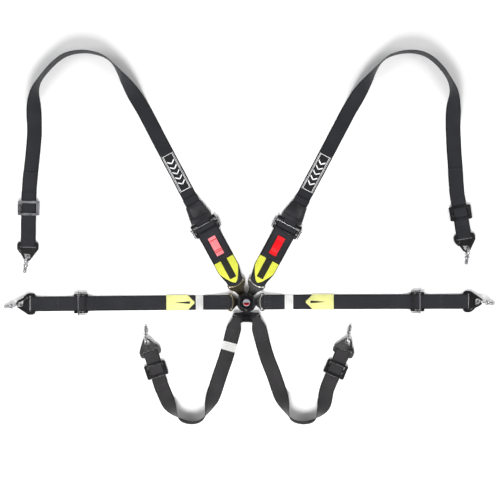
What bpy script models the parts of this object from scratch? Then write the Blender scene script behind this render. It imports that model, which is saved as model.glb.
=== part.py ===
"""Six-point racing harness laid out on a flat surface, in metres, +Z up.

The origin is on the surface under the middle of the cam-lock buckle, and +Y points to the shoulder straps.
Each strap ends in a clip-in hook plate with its eye bolt. Local frames run outward from the buckle along +x.
"""

import math

import bmesh
import bpy
from mathutils import Matrix, Vector, geometry

# Webbing
LAP_WIDTH = 0.050
SHOULDER_WIDTH = 0.076
WEB = 0.0015
GAP = 0.0003
FLOOR_PLY = 0.0002 + WEB / 2
SECOND_PLY = FLOOR_PLY + WEB + GAP
SLIDE_PLY = 0.00465
LOOP_RADIUS = 0.0021

# Buckle
HOUSING_RADIUS = 0.033
CAVITY_RADIUS = 0.0295
BACK_PLATE = 0.003
HOUSING_TOP = 0.0195
KNOB_RADIUS = 0.0335
KNOB_TOP = 0.038
KNOB_LOBES = 6
TONGUE_LOW = 0.0075
TONGUE_HIGH = 0.0105
PIN_PLACE = 0.022
WINDOW_HALF = 0.01275
SHOULDER_ANGLE = 28.5
TONGUE_HEADINGS = {"left": 90 + SHOULDER_ANGLE, "right": 90 - SHOULDER_ANGLE}

# Hook plates and eye bolts
HOOK_THICKNESS = 0.003
HOOK_LOW = 0.0020
HOOK_TILT = 7.0
HOOK_HALF = 0.0365
HOOK_SEAT = (0.0494, 0.003)
GATE_PIVOT = (0.028, -0.023)
GATE_ANGLE = 27.0
RING_RADIUS = 0.01275
RING_WIRE = 0.00375
RING_REACH = 0.0111
RING_HEIGHT = 0.0166
STUD_PITCH = 14.0
STUD_RADIUS = 0.0055
STUD_END = 0.0465
COLLAR_RADIUS = 0.0085

# Length adjusters, in their own frames
ADJUSTER_HALF_LENGTH = 0.024
ADJUSTER_LOW = 0.0022
ADJUSTER_BASE = 0.0025
CHEEK = 0.0025
CHEEK_TOP = 0.0130
BAR_RADIUS = 0.0042
BAR_AT = (0.0005, 0.0070)
BAIL_AT = (0.0086, 0.0085)
BAIL_RADIUS = 0.0015
LAP_ADJUSTER = 0.562
SHOULDER_ADJUSTER = {"left": 0.2916, "right": 0.2890}
TURN_AT = 0.0005 + 0.0057
TURN_TOP = 0.01245
REAR_TURN = 0.0105
REAR_PLY = ADJUSTER_LOW + ADJUSTER_BASE + GAP + WEB / 2

# Three-bar slides
SLIDE_HALF_LENGTH = 0.0245
SLIDE_HALF_WIDTH = 0.037

# Where each hook plate's webbing end lies: x, y, heading, the swing of its eye bolt
HOOKS = {
    "lap_left": (-0.7170, -0.0065, 180.0, 7.5),
    "lap_right": (0.7360, 0.0020, 0.0, -12.0),
    "shoulder_left": (-0.7420, 0.2040, 268.8, -13.0),
    "shoulder_right": (0.7375, 0.2320, 279.0, -11.0),
    "crotch_left": (-0.3220, -0.1830, 108.0, -16.0),
    "crotch_right": (0.3235, -0.1800, 66.7, 11.0),
}
# How far each slide lies from its hook plate, and how far its strap's free end does
SLIDES = {
    "shoulder_left": (0.115, 0.238),
    "shoulder_right": (0.072, 0.225),
    "crotch_left": (0.050, 0.122),
    "crotch_right": (0.052, 0.122),
}
# Each strap's way over the surface, from the buckle to its hook, as points chosen by hand
ROUTES = {
    "shoulder_left": [
        (-0.1918, 0.3533), (-0.301, 0.560), (-0.355, 0.662), (-0.412, 0.750), (-0.464, 0.818),
        (-0.515, 0.842), (-0.573, 0.845), (-0.627, 0.826), (-0.680, 0.775), (-0.711, 0.724),
        (-0.720, 0.655), (-0.722, 0.560), (-0.730, 0.470),
    ],
    "shoulder_right": [
        (0.1918, 0.3533), (0.301, 0.560), (0.355, 0.662), (0.412, 0.750), (0.464, 0.818),
        (0.515, 0.842), (0.573, 0.845), (0.622, 0.826), (0.668, 0.780), (0.697, 0.722),
        (0.701, 0.655), (0.704, 0.545), (0.709, 0.470),
    ],
    "crotch_left": [
        (-0.0355, -0.066), (-0.049, -0.113), (-0.067, -0.180), (-0.0935, -0.258), (-0.119, -0.335),
        (-0.140, -0.386), (-0.177, -0.406), (-0.224, -0.394), (-0.259, -0.352),
    ],
    "crotch_right": [
        (0.0355, -0.066), (0.049, -0.113), (0.067, -0.180), (0.0965, -0.258), (0.123, -0.335),
        (0.145, -0.388), (0.185, -0.406), (0.229, -0.396), (0.260, -0.355),
    ],
}
# Where a strap leaves the flat, stands on edge, and lies flat again, as points near its route
ROLLS = {
    "shoulder_left": [(-0.350, 0.655), (-0.470, 0.822), (-0.690, 0.762), (-0.721, 0.590)],
    "shoulder_right": [(0.350, 0.655), (0.470, 0.822), (0.678, 0.762), (0.703, 0.590)],
    "crotch_left": [(-0.105, -0.293), (-0.150, -0.395), (-0.212, -0.400), (-0.272, -0.320)],
    "crotch_right": [(0.108, -0.293), (0.155, -0.395), (0.216, -0.400), (0.270, -0.325)],
}
CROTCH_SLOT = (0.028, -0.052)
CROTCH_SLOT_HEADING = 60.0


# ---------------------------------------------------------------- basics


def clear_scene():
    for old in list(bpy.data.objects):
        bpy.data.objects.remove(old, do_unlink=True)


def material(name, colour, roughness, metallic=0.0):
    made = bpy.data.materials.new(name)
    made.use_nodes = True
    shader = made.node_tree.nodes["Principled BSDF"]
    shader.inputs["Base Color"].default_value = (*colour, 1)
    shader.inputs["Roughness"].default_value = roughness
    shader.inputs["Metallic"].default_value = metallic
    return made


def frame(x, y, heading, z=0.0, tilt=0.0):
    """A local frame: +x runs along the heading, in degrees from +X, and tilt lifts it."""
    place = Matrix.Translation((x, y, z))
    return place @ Matrix.Rotation(math.radians(heading), 4, "Z") @ Matrix.Rotation(
        math.radians(-tilt), 4, "Y"
    )


def add_object(name, mesh, place, look):
    made = bpy.data.objects.new(name, mesh)
    bpy.context.scene.collection.objects.link(made)
    made.matrix_world = place
    if mesh.materials:
        mesh.materials.clear()
    mesh.materials.append(LOOKS[look])
    return made


def finish_mesh(name, build, smooth=False):
    bmesh.ops.recalc_face_normals(build, faces=build.faces)
    mesh = bpy.data.meshes.new(name)
    build.to_mesh(mesh)
    build.free()
    if smooth:
        mesh.shade_smooth()
        mesh.set_sharp_from_angle(angle=math.radians(35))
    return mesh


def fillet(points, closed=True, steps=3):
    """Rounds each corner (a, b, radius) of an outline or of an open line."""
    found = []
    count = len(points)
    for index, (a, b, radius) in enumerate(points):
        here = Vector((a, b))
        if radius <= 0 or (not closed and index in (0, count - 1)):
            found.append(here)
            continue
        back = Vector(points[index - 1][:2]) - here
        ahead = Vector(points[(index + 1) % count][:2]) - here
        shorter = min(back.length, ahead.length)
        back.normalize()
        ahead.normalize()
        half = math.acos(max(-1.0, min(1.0, back.dot(ahead)))) / 2
        reach = min(radius / math.tan(half), 0.48 * shorter)
        if reach < 2e-5:
            found.append(here)
            continue
        centre = here + (back + ahead).normalized() * (reach / math.cos(half))
        first = here + back * reach - centre
        turn = first.angle_signed(here + ahead * reach - centre)
        for step in range(steps + 1):
            found.append(centre + first @ Matrix.Rotation(turn * step / steps, 2))
    return found


def mirrored(half, centre=()):
    """An outline symmetric about the x axis, from its half at negative y."""
    return [*half, *centre, *[(x, -y, radius) for x, y, radius in reversed(half)]]


def slab_mesh(name, outline, holes, low, high):
    """A flat plate with straight holes, between two heights."""
    loops = [outline, *holes]
    build = bmesh.new()
    layers = []
    for height in (low, high):
        layers.append([[build.verts.new((p[0], p[1], height)) for p in loop] for loop in loops])
    corners = [[Vector((p[0], p[1], 0)) for p in loop] for loop in loops]
    triangles = geometry.tessellate_polygon(corners)
    for layer in layers:
        flat = [vertex for loop in layer for vertex in loop]
        for triangle in triangles:
            build.faces.new([flat[index] for index in triangle])
    for below, above in zip(*layers):
        for index in range(len(below)):
            ahead = (index + 1) % len(below)
            build.faces.new([below[index], below[ahead], above[ahead], above[index]])
    return finish_mesh(name, build)


def slot_hole(x0, x1, half):
    """A webbing slot across a plate."""
    return fillet([(x0, -half, 0.0015), (x1, -half, 0.0015), (x1, half, 0.0015), (x0, half, 0.0015)], steps=2)


def circle(x, y, radius, steps=12):
    turns = [2 * math.pi * step / steps for step in range(steps)]
    return [Vector((x + radius * math.cos(turn), y + radius * math.sin(turn))) for turn in turns]


def box_mesh(x0, x1, y0, y1, z0, z1):
    return slab_mesh("box", [Vector(p) for p in ((x0, y0), (x1, y0), (x1, y1), (x0, y1))], [], z0, z1)


def lathe_mesh(name, profile, steps, wave=None):
    """Turns (radius, height) points about Z; a radius of 0 closes an end. wave scales them."""
    build = bmesh.new()
    rings = []
    for radius, height in profile:
        if radius == 0:
            rings.append([build.verts.new((0, 0, height))])
            continue
        ring = []
        for step in range(steps):
            turn = 2 * math.pi * step / steps
            reach = radius * (wave(turn, radius, height) if wave else 1)
            ring.append(build.verts.new((reach * math.cos(turn), reach * math.sin(turn), height)))
        rings.append(ring)
    pairs = list(zip(rings, rings[1:]))
    if profile[0][0] != 0:
        pairs.append((rings[-1], rings[0]))
    for one, two in pairs:
        for step in range(steps):
            ahead = (step + 1) % steps
            if len(one) == 1:
                build.faces.new([one[0], two[ahead], two[step]])
            elif len(two) == 1:
                build.faces.new([one[step], one[ahead], two[0]])
            else:
                build.faces.new([one[step], one[ahead], two[ahead], two[step]])
    return finish_mesh(name, build, smooth=True)


def torus_mesh(ring, wire, ring_steps, wire_steps):
    """A ring in the XZ plane."""
    turns = [2 * math.pi * step / wire_steps for step in range(wire_steps)]
    made = lathe_mesh("ring", [(ring + wire * math.cos(t), wire * math.sin(t)) for t in turns], ring_steps)
    made.transform(Matrix.Rotation(math.pi / 2, 4, "X"))
    return made


def carve(target, tools, operation="DIFFERENCE"):
    """Cuts each tool from the object or joins it, and keeps the resulting mesh."""
    helpers = []
    for mesh, place in tools:
        helper = bpy.data.objects.new("tool", mesh)
        bpy.context.scene.collection.objects.link(helper)
        helper.matrix_world = target.matrix_world @ place
        helper.hide_render = True
        helper.display_type = "WIRE"
        helpers.append(helper)
        step = target.modifiers.new("carve", "BOOLEAN")
        step.operation = operation
        step.solver = "EXACT"
        step.object = helper
    bpy.context.view_layer.update()
    graph = bpy.context.evaluated_depsgraph_get()
    result = bpy.data.meshes.new_from_object(target.evaluated_get(graph))
    look = target.data.materials[0]
    target.modifiers.clear()
    target.data = result
    result.materials.clear()
    result.materials.append(look)
    for helper in helpers:
        bpy.data.objects.remove(helper, do_unlink=True)
    return target


def wire_object(name, points, radius, place, look, resolution=2):
    """A round wire through the points."""
    curve = bpy.data.curves.new(name, "CURVE")
    curve.dimensions = "3D"
    curve.bevel_depth = radius
    curve.bevel_resolution = resolution
    curve.use_fill_caps = True
    line = curve.splines.new("POLY")
    line.points.add(len(points) - 1)
    for point, at in zip(line.points, points):
        point.co = (*at, 1)
    made = bpy.data.objects.new(name, curve)
    bpy.context.scene.collection.objects.link(made)
    made.matrix_world = place
    curve.materials.append(LOOKS[look])
    return made


# ---------------------------------------------------------------- webbing


class Route:
    """A smooth line over the surface, read by the distance along it."""

    def __init__(self, points, spacing=0.003):
        self.spots = []
        ends = [points[0] * 2 - points[1], *points, points[-1] * 2 - points[-2]]
        for a, b, c, d in zip(ends, ends[1:], ends[2:], ends[3:]):
            parts = max(1, round((c - b).length / spacing))
            for part in range(parts):
                t = part / parts
                self.spots.append(
                    0.5 * (2 * b + (c - a) * t)
                    + 0.5 * ((2 * a - 5 * b + 4 * c - d) * t**2 + (3 * b - a - 3 * c + d) * t**3)
                )
        self.spots.append(points[-1])
        self.marks = [0.0]
        for one, two in zip(self.spots, self.spots[1:]):
            self.marks.append(self.marks[-1] + (two - one).length)
        self.length = self.marks[-1]

    def at(self, distance):
        """The point and the direction at a distance; past the ends the line runs straight on."""
        index = 0
        while index < len(self.marks) - 2 and self.marks[index + 1] < distance:
            index += 1
        one, two = self.spots[index], self.spots[index + 1]
        before = self.spots[max(0, index - 1)]
        after = self.spots[min(len(self.spots) - 1, index + 2)]
        span = self.marks[index + 1] - self.marks[index]
        part = (distance - self.marks[index]) / span
        lean = max(0.0, min(1.0, part))
        ahead = (two - before).normalized().lerp((after - one).normalized(), lean)
        return one + (two - one) * part, ahead.normalized()

    def nearest(self, x, y):
        spot = Vector((x, y))
        index = min(range(len(self.spots)), key=lambda place: (self.spots[place] - spot).length)
        return self.marks[index]


def straight_route(x, y, heading, length):
    start = Vector((x, y))
    turn = math.radians(heading)
    return Route([start, start + Vector((math.cos(turn), math.sin(turn))) * length])


def smooth(value):
    value = max(0.0, min(1.0, value))
    return value * value * (3 - 2 * value)


def subdivide(profile, step):
    """Adds points to a profile so that none lie further apart than step."""
    found = [profile[0]]
    for one, two in zip(profile, profile[1:]):
        parts = max(1, math.ceil((two - one).length / step))
        found.extend(one.lerp(two, part / parts) for part in range(1, parts + 1))
    return found


def webbing(name, route, profile, width, step=0.06, roll=None, side=1):
    """Webbing along a route. The profile's points are (distance, height, corner radius); it may turn back."""
    line = subdivide(fillet(profile, closed=False, steps=3), step)
    stations = []
    for index, (distance, height) in enumerate(line):
        spot, ahead = route.at(distance)
        before = line[max(0, index - 1)]
        after = line[min(len(line) - 1, index + 1)]
        slope = (after - before).normalized()
        lean = roll(distance) if roll else 0.0
        across = Vector((-ahead.y, ahead.x, 0)) * math.cos(lean) + Vector((0, 0, side * math.sin(lean)))
        forward = Vector((ahead.x * slope.x, ahead.y * slope.x, slope.y))
        normal = forward.cross(across).normalized()
        mitre = 1.0
        if 0 < index < len(line) - 1:
            one = (line[index] - before).normalized()
            two = (after - line[index]).normalized()
            mitre = 1 / max(0.5, math.cos(one.angle(two) / 2))
        wide = width(distance) if callable(width) else width
        lift = wide / 2 * math.sin(lean) - WEB / 2 * (1 - math.cos(lean))
        centre = Vector((spot.x, spot.y, height + lift))
        stations.append((centre, across * wide / 2, normal * (WEB / 2 * mitre)))
    build = bmesh.new()
    rings = []
    for centre, across, normal in stations:
        corners = (
            centre - across - normal, centre + across - normal, centre + across + normal,
            centre - across + normal,
        )
        rings.append([build.verts.new(corner) for corner in corners])
    for one, two in zip(rings, rings[1:]):
        # Both wide faces are split along the same diagonal, so that a twisted length keeps its thickness
        build.faces.new([one[0], one[1], two[1]])
        build.faces.new([one[0], two[1], two[0]])
        build.faces.new([one[2], one[3], two[2]])
        build.faces.new([one[3], two[3], two[2]])
        build.faces.new([one[1], one[2], two[2], two[1]])
        build.faces.new([one[3], one[0], two[0], two[3]])
    build.faces.new(rings[0])
    build.faces.new(rings[-1][::-1])
    return add_object(name, finish_mesh(name, build), Matrix.Identity(4), "webbing")


def hook_loop(end):
    """The loop round a hook plate's end bar, at distances past end."""
    return [
        (end + 0.0162, FLOOR_PLY, LOOP_RADIUS),
        (end + 0.0162, 0.0083, LOOP_RADIUS),
        (end - 0.0010, 0.0063, 0.01),
        (end - 0.0140, SLIDE_PLY, 0.02),
    ]


# ---------------------------------------------------------------- hardware


def make_hook(name):
    x, y, heading, swing = HOOKS[name]
    place = frame(x, y, heading, HOOK_LOW, HOOK_TILT)
    seat_x, seat_y = HOOK_SEAT
    outline = [
        (0.0, 0.0365, 0.009), (0.0, -HOOK_HALF, 0.009), (0.024, -HOOK_HALF, 0.010), (0.0385, -0.0257, 0.002),
        (0.0405, -0.010, 0.004), (seat_x - 0.0075, seat_y + 0.0065, 0.0055),
        (seat_x + 0.0080, seat_y + 0.0065, 0.0055),
        (seat_x + 0.0080, -0.004, 0.005), (0.0505, -0.0085, 0.002), (0.0500, -0.0172, 0.002),
        (0.0590, -0.0115, 0.004),
        (0.0645, -0.003, 0.005), (0.0645, 0.008, 0.006), (0.024, HOOK_HALF, 0.010),
    ]
    slot = slot_hole(0.013, 0.0195, 0.0268)
    plate = add_object(
        name + "_hook_plate",
        slab_mesh("hook_plate", fillet(outline, steps=2), [slot], 0, HOOK_THICKNESS),
        place,
        "black_steel",
    )
    top = HOOK_THICKNESS
    rivet = [(0, top - 0.001), (0.0024, top - 0.001), (0.0024, top + 0.0026), (0.0046, top + 0.0026),
             (0.0040, top + 0.0038), (0.0018, top + 0.0044), (0, top + 0.0044)]
    pivot = Matrix.Translation((*GATE_PIVOT, 0))
    carve(plate, [(lathe_mesh("rivet", rivet, 9), pivot)], "UNION")
    lever = fillet([(-0.0055, 0.0050, 0.0045), (-0.0055, -0.0050, 0.0045), (0.0280, -0.0042, 0.0038),
                    (0.0280, 0.0042, 0.0038)], steps=3)
    gate_place = place @ Matrix.Translation((*GATE_PIVOT, top)) @ Matrix.Rotation(
        math.radians(GATE_ANGLE), 4, "Z"
    )
    gate_mesh = slab_mesh("hook_gate", lever, [circle(0, 0, 0.0029)], GAP, GAP + 0.0019)
    add_object(name + "_hook_gate", gate_mesh, gate_place, "black_steel")
    make_eye_bolt(name, frame(x, y, heading), swing)


def make_eye_bolt(name, place, swing):
    """The eye bolt's origin is where its ring passes through the hook's seat."""
    seat = place @ Matrix.Translation((*HOOK_SEAT, 0)) @ Matrix.Rotation(math.radians(swing), 4, "Z")
    centre = Matrix.Translation((RING_REACH, 0, RING_HEIGHT))
    ring = torus_mesh(RING_RADIUS, RING_WIRE, 18, 6)
    ring.transform(centre)
    bolt = add_object(name + "_eye_bolt", ring, seat, "chrome")
    neck = RING_RADIUS + RING_WIRE - 0.0022
    collar = RING_RADIUS + RING_WIRE + 0.0012
    shank = [(0, neck), (0.0052, neck), (0.0060, collar), (COLLAR_RADIUS, collar),
             (COLLAR_RADIUS, collar + 0.0050),
             (STUD_RADIUS, collar + 0.0050), (STUD_RADIUS, STUD_END - 0.001), (STUD_RADIUS - 0.001, STUD_END),
             (0, STUD_END)]
    turn = Matrix.Rotation(math.radians(90 + STUD_PITCH), 4, "Y")
    carve(bolt, [(lathe_mesh("shank", shank, 12), centre @ turn)], "UNION")
    bolt.data.shade_smooth()
    bolt.data.set_sharp_from_angle(angle=math.radians(40))


def make_adjuster(name, distance, heading, half):
    """A frame with two cheeks, the knurled bar that slides in them, and the wire that releases it."""
    turn = math.radians(heading)
    place = frame(distance * math.cos(turn), distance * math.sin(turn), heading)
    length = ADJUSTER_HALF_LENGTH
    outer = half + CHEEK
    outline = fillet(
        [(-length, -outer, 0.004), (length, -outer, 0.004), (length, outer, 0.004), (-length, outer, 0.004)]
    )
    body = add_object(
        name + "_adjuster_frame", slab_mesh("frame", outline, [], ADJUSTER_LOW, CHEEK_TOP), place,
        "black_steel"
    )
    base_top = ADJUSTER_LOW + ADJUSTER_BASE
    pin = lathe_mesh(
        "pin", [(0, -0.1), (BAIL_RADIUS + 0.0006, -0.1), (BAIL_RADIUS + 0.0006, 0.1), (0, 0.1)], 12
    )
    across = Matrix.Rotation(math.pi / 2, 4, "X")
    tools = [
        (box_mesh(-0.1, 0.1, -half, half, base_top, 0.1), Matrix.Identity(4)),
        (box_mesh(-0.017, 0.014, -half, half, -0.1, 0.1), Matrix.Identity(4)),
        (box_mesh(-0.0066, 0.0040, -0.1, 0.1, 0.0038, 0.0102), Matrix.Identity(4)),
        (pin, Matrix.Translation((BAIL_AT[0], 0, BAIL_AT[1])) @ across),
    ]
    for face in (-1, 1):
        notch = box_mesh(-0.1, -0.017, face * half - 0.01, face * half + 0.01, 0.0095, 0.1)
        tools.append((notch, Matrix.Identity(4)))
    carve(body, tools)
    bar = [(0, -outer - 0.0012), (0.0024, -outer - 0.0012), (0.0024, -half + 0.0008),
           (BAR_RADIUS, -half + 0.0008),
           (BAR_RADIUS, half - 0.0008), (0.0024, half - 0.0008), (0.0024, outer + 0.0012),
           (0, outer + 0.0012)]
    bar_place = place @ Matrix.Translation((BAR_AT[0], 0, BAR_AT[1])) @ across
    add_object(name + "_adjuster_bar", lathe_mesh("bar", bar, 12), bar_place, "steel")
    reach = outer + 0.0022 + BAIL_RADIUS
    bend = 0.003
    arm = [
        (-0.0300, reach - 0.001), (-0.0270, reach), (-bend, reach), (-bend * 0.3, reach - bend * 0.3),
        (0, reach - bend),
    ]
    points = [(along, out, 0) for along, out in arm] + [(along, -out, 0) for along, out in reversed(arm)]
    bail_place = place @ Matrix.Translation((BAIL_AT[0], 0, BAIL_AT[1]))
    wire_object(name + "_adjuster_bail", points, BAIL_RADIUS, bail_place, "chrome")
    return place


def make_slide(name):
    """A three-bar slide. Its middle bar lies between the strap's two plies, its outer bars over both."""
    x, y, heading, _ = HOOKS[name]
    place = frame(x, y, heading) @ Matrix.Translation((-SLIDES[name][0], 0, 0))
    length, wide = SLIDE_HALF_LENGTH, SLIDE_HALF_WIDTH
    outline = fillet(
        [(-length, -wide, 0.004), (length, -wide, 0.004), (length, wide, 0.004), (-length, wide, 0.004)]
    )
    inside = 0.027
    whole = Matrix.Identity(4)
    middle_low = FLOOR_PLY + WEB / 2 + GAP
    middle_high = SLIDE_PLY - WEB / 2 - GAP
    top_low = SLIDE_PLY + WEB / 2 + GAP
    body = add_object(
        name + "_slide", slab_mesh("slide", outline, [], middle_low, 0.0086), place, "black_steel"
    )
    window = box_mesh(-length + 0.008, length - 0.008, -inside, inside, middle_high, 0.1)
    tunnel = box_mesh(-0.1, 0.1, -inside, inside, middle_high, top_low)
    tools = [(window, whole), (tunnel, whole)]
    for face in (-1, 1):
        low, high = sorted((face * 0.005, face * 0.1))
        tools.append((box_mesh(low, high, -inside, inside, -0.1, top_low), whole))
    carve(body, tools)


# ---------------------------------------------------------------- straps


def make_lap(side):
    name = "lap_" + side
    x, y, heading, _ = HOOKS[name]
    end = abs(x)
    slope = math.degrees(math.atan2(y, x))
    line = straight_route(0, 0, slope, 0.9)
    tongue = mirrored([(0.016, -0.0075, 0), (0.024, -0.011, 0), (0.033, -0.012, 0.002),
                       (0.043, -0.021, 0.012),
                       (0.050, -0.0305, 0.004), (0.0575, -0.031, 0.003), (0.062, -0.0275, 0.003)])
    holes = [circle(PIN_PLACE, 0, 0.0033), slot_hole(0.0495, 0.0545, 0.0265)]
    mesh = slab_mesh("tongue", fillet(tongue), holes, TONGUE_LOW, TONGUE_HIGH)
    add_object(name + "_tongue", mesh, frame(0, 0, slope), "polished_steel")
    below = TONGUE_LOW - GAP - WEB / 2
    above = TONGUE_HIGH + GAP + WEB / 2
    sewn_end = 0.142 if side == "left" else 0.1275
    centre = LAP_ADJUSTER if side == "left" else LAP_ADJUSTER + 0.018
    tail_end = 0.178 if side == "left" else 0.203
    inner = [
        (tail_end, SECOND_PLY, 0), (centre - 0.050, SECOND_PLY, 0.02),
        (centre - 0.020, TURN_TOP - 0.0030, 0.02),
        (centre - 0.009, TURN_TOP, 0.012), (centre + TURN_AT, TURN_TOP, 0.0055),
        (centre + TURN_AT, FLOOR_PLY, 0.0055),
        (0.135, FLOOR_PLY, 0.05), (0.066, below, 0.02), (0.0517, below, LOOP_RADIUS),
        (0.0517, above, LOOP_RADIUS),
        (0.068, above, 0.02), (0.118, SECOND_PLY + 0.0018, 0.05), (sewn_end, SECOND_PLY + 0.0002, 0),
    ]
    webbing(name + "_inner_webbing", line, inner, LAP_WIDTH)
    make_adjuster(name, centre, slope, 0.0302)
    tail = 0.652 if side == "left" else 0.655
    outer = [
        (centre + 0.062, FLOOR_PLY, 0), (centre + REAR_TURN, FLOOR_PLY, LOOP_RADIUS),
        (centre + REAR_TURN, REAR_PLY, LOOP_RADIUS), (centre + 0.026, REAR_PLY, 0.01),
        (centre + 0.040, SECOND_PLY, 0.02), (centre + 0.066, SECOND_PLY, 0.02),
        (centre + 0.078, SECOND_PLY, 0.02), *reversed(hook_loop(end)), (tail, FLOOR_PLY, 0),
    ]
    webbing(name + "_outer_webbing", line, outer, LAP_WIDTH)
    make_hook(name)


def make_shoulder(side):
    name = "shoulder_" + side
    heading = TONGUE_HEADINGS[side]
    line = straight_route(0, 0, heading, 0.6)
    tongue = mirrored([(0.016, -0.0075, 0), (0.024, -0.011, 0), (0.033, -0.012, 0.002),
                       (0.049, -0.018, 0.012),
                       (0.063, -0.030, 0.006), (0.0745, -0.0325, 0.004), (0.083, -0.029, 0.004)])
    holes = [circle(PIN_PLACE, 0, 0.0033), slot_hole(0.0690, 0.0740, 0.0285)]
    mesh = slab_mesh("tongue", fillet(tongue), holes, TONGUE_LOW, TONGUE_HIGH)
    add_object(name + "_tongue", mesh, frame(0, 0, heading), "polished_steel")
    centre = SHOULDER_ADJUSTER[side]
    below = TONGUE_LOW - GAP - WEB / 2
    above = TONGUE_HIGH + GAP + WEB / 2
    lower = [
        (0.165, SECOND_PLY, 0), (centre - 0.050, SECOND_PLY, 0.02), (centre - 0.020, TURN_TOP - 0.0030, 0.02),
        (centre - 0.009, TURN_TOP, 0.012), (centre + TURN_AT, TURN_TOP, 0.0055),
        (centre + TURN_AT, FLOOR_PLY, 0.0055),
        (0.158, FLOOR_PLY, 0.03), (0.135, SECOND_PLY, 0.04), (0.090, above, 0.02),
        (0.0713, above, LOOP_RADIUS),
        (0.0713, below, LOOP_RADIUS), (0.086, below, 0.02), (0.115, FLOOR_PLY, 0.02), (0.145, FLOOR_PLY, 0),
    ]

    def taper(distance):
        return 0.056 + (SHOULDER_WIDTH - 0.056) * smooth((distance - 0.080) / 0.055)

    webbing(name + "_lower_webbing", line, lower, taper, step=0.026)
    make_adjuster(name, centre, heading, 0.0432)
    make_pull_tab(name, heading, centre)
    make_cuff(name, heading, centre)
    make_upper_webbing(name, line, centre)
    make_slide(name)
    make_hook(name)


def make_pull_tab(name, heading, centre):
    """A flat red strap sewn on the free end, arched between its stitched ends, up to where that end climbs."""
    low = SECOND_PLY + WEB / 2 + GAP
    start, stop, half = 0.183, 0.251, 0.0135
    climb_at, climb = centre - 0.0525, (TURN_TOP - 0.0030 - SECOND_PLY) / 0.030
    arch = 0.0035
    steps = 12
    build = bmesh.new()
    rings = []
    for step in range(steps + 1):
        part = step / steps
        along = start + (stop - start) * part
        height = low + arch * math.sin(math.pi * part) ** 2 + climb * max(0.0, along - climb_at)
        corners = ((-half, 0), (half, 0), (half, 0.0016), (-half, 0.0016))
        rings.append([build.verts.new((along, across, height + up)) for across, up in corners])
    for one, two in zip(rings, rings[1:]):
        for index in range(4):
            ahead = (index + 1) % 4
            build.faces.new([one[index], one[ahead], two[ahead], two[index]])
    build.faces.new(rings[0])
    build.faces.new(rings[-1][::-1])
    add_object(name + "_pull_tab", finish_mesh("pull_tab", build), frame(0, 0, heading), "red_webbing")


def make_cuff(name, heading, centre):
    """The moulded cuff that covers the join of the two webbings: a channel, open underneath."""
    start, stop = centre + 0.037, centre + 0.088
    outline = fillet(
        [(start, -0.038, 0.004), (stop, -0.0285, 0.003), (stop, 0.0285, 0.003), (start, 0.038, 0.004)]
    )
    low, high = 0.0002, 0.0066
    cuff = add_object(
        name + "_cuff", slab_mesh("cuff", outline, [], low, high), frame(0, 0, heading), "rubber"
    )
    carve(cuff, [(box_mesh(0, 1, -0.0256, 0.0256, -0.1, SECOND_PLY + WEB / 2 + GAP), Matrix.Identity(4))])


def strap_route(name, start):
    """The route of a strap with a slide: through its points, then straight into its hook plate."""
    x, y, heading, _ = HOOKS[name]
    end = Vector((x, y))
    turn = math.radians(heading)
    ahead = Vector((math.cos(turn), math.sin(turn)))
    approach = SLIDES[name][0] + 0.070
    points = [*start, *[Vector(point) for point in ROUTES[name]]]
    points += [end - ahead * approach, end - ahead * approach / 2, end, end + ahead * 0.03]
    route = Route(points)
    return route, route.length - 0.03


def strap_roll(name, route):
    marks = [route.nearest(*spot) for spot in ROLLS[name]]

    def roll(distance):
        rise = smooth((distance - marks[0]) / (marks[1] - marks[0]))
        fall = smooth((distance - marks[2]) / (marks[3] - marks[2]))
        return math.pi / 2 * (rise - fall)

    return roll


def slide_end(name, end):
    """A strap's last stretch: under the hook plate, round its bar, and back through the slide on top."""
    slide, free_end = SLIDES[name]
    low = end - slide - 0.050
    return [
        *hook_loop(end), (low, SLIDE_PLY, 0.02), (low - 0.010, SECOND_PLY, 0.02),
        (end - free_end, SECOND_PLY, 0),
    ]


def make_upper_webbing(name, line, centre):
    first = line.at(centre + REAR_TURN)[0]
    second = line.at(centre + 0.060)[0]
    route, end = strap_route(name, [first, second])
    roll = strap_roll(name, route)
    profile = [
        (0.085, FLOOR_PLY, 0), (0, FLOOR_PLY, LOOP_RADIUS), (0, REAR_PLY, LOOP_RADIUS),
        (0.0155, REAR_PLY, 0.01),
        (0.0260, SECOND_PLY, 0.01), (0.092, SECOND_PLY, 0.02), (0.108, FLOOR_PLY, 0.02),
        *slide_end(name, end),
    ]
    side = 1 if name.endswith("right") else -1
    webbing(name + "_upper_webbing", route, profile, LAP_WIDTH, 0.022, top_ply_flat(roll, end), side)


def top_ply_flat(roll, end):
    """The roll of the strap; the last stretch and its free end lie flat."""
    return lambda distance: 0.0 if distance > end - 0.10 else roll(distance)


def make_crotch(side):
    name = "crotch_" + side
    sign = -1 if side == "left" else 1
    slot = Vector((sign * CROTCH_SLOT[0], CROTCH_SLOT[1]))
    route, end = strap_route(name, [slot])
    roll = strap_roll(name, route)
    below = TONGUE_LOW - GAP - WEB / 2
    above = TONGUE_HIGH + GAP + WEB / 2
    profile = [
        (0.088, SECOND_PLY, 0), (0.070, SECOND_PLY + 0.0005, 0.02), (0.014, above, 0.02),
        (0, above, LOOP_RADIUS),
        (0, below, LOOP_RADIUS), (0.012, below, 0.02), (0.062, FLOOR_PLY, 0.03), *slide_end(name, end),
    ]

    def taper(distance):
        return 0.031 + (LAP_WIDTH - 0.031) * smooth((distance - 0.006) / 0.038)

    side_up = -1 if side == "right" else 1
    webbing(name + "_webbing", route, profile, taper, 0.018, top_ply_flat(roll, end), -side_up)
    make_slide(name)
    make_hook(name)


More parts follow.
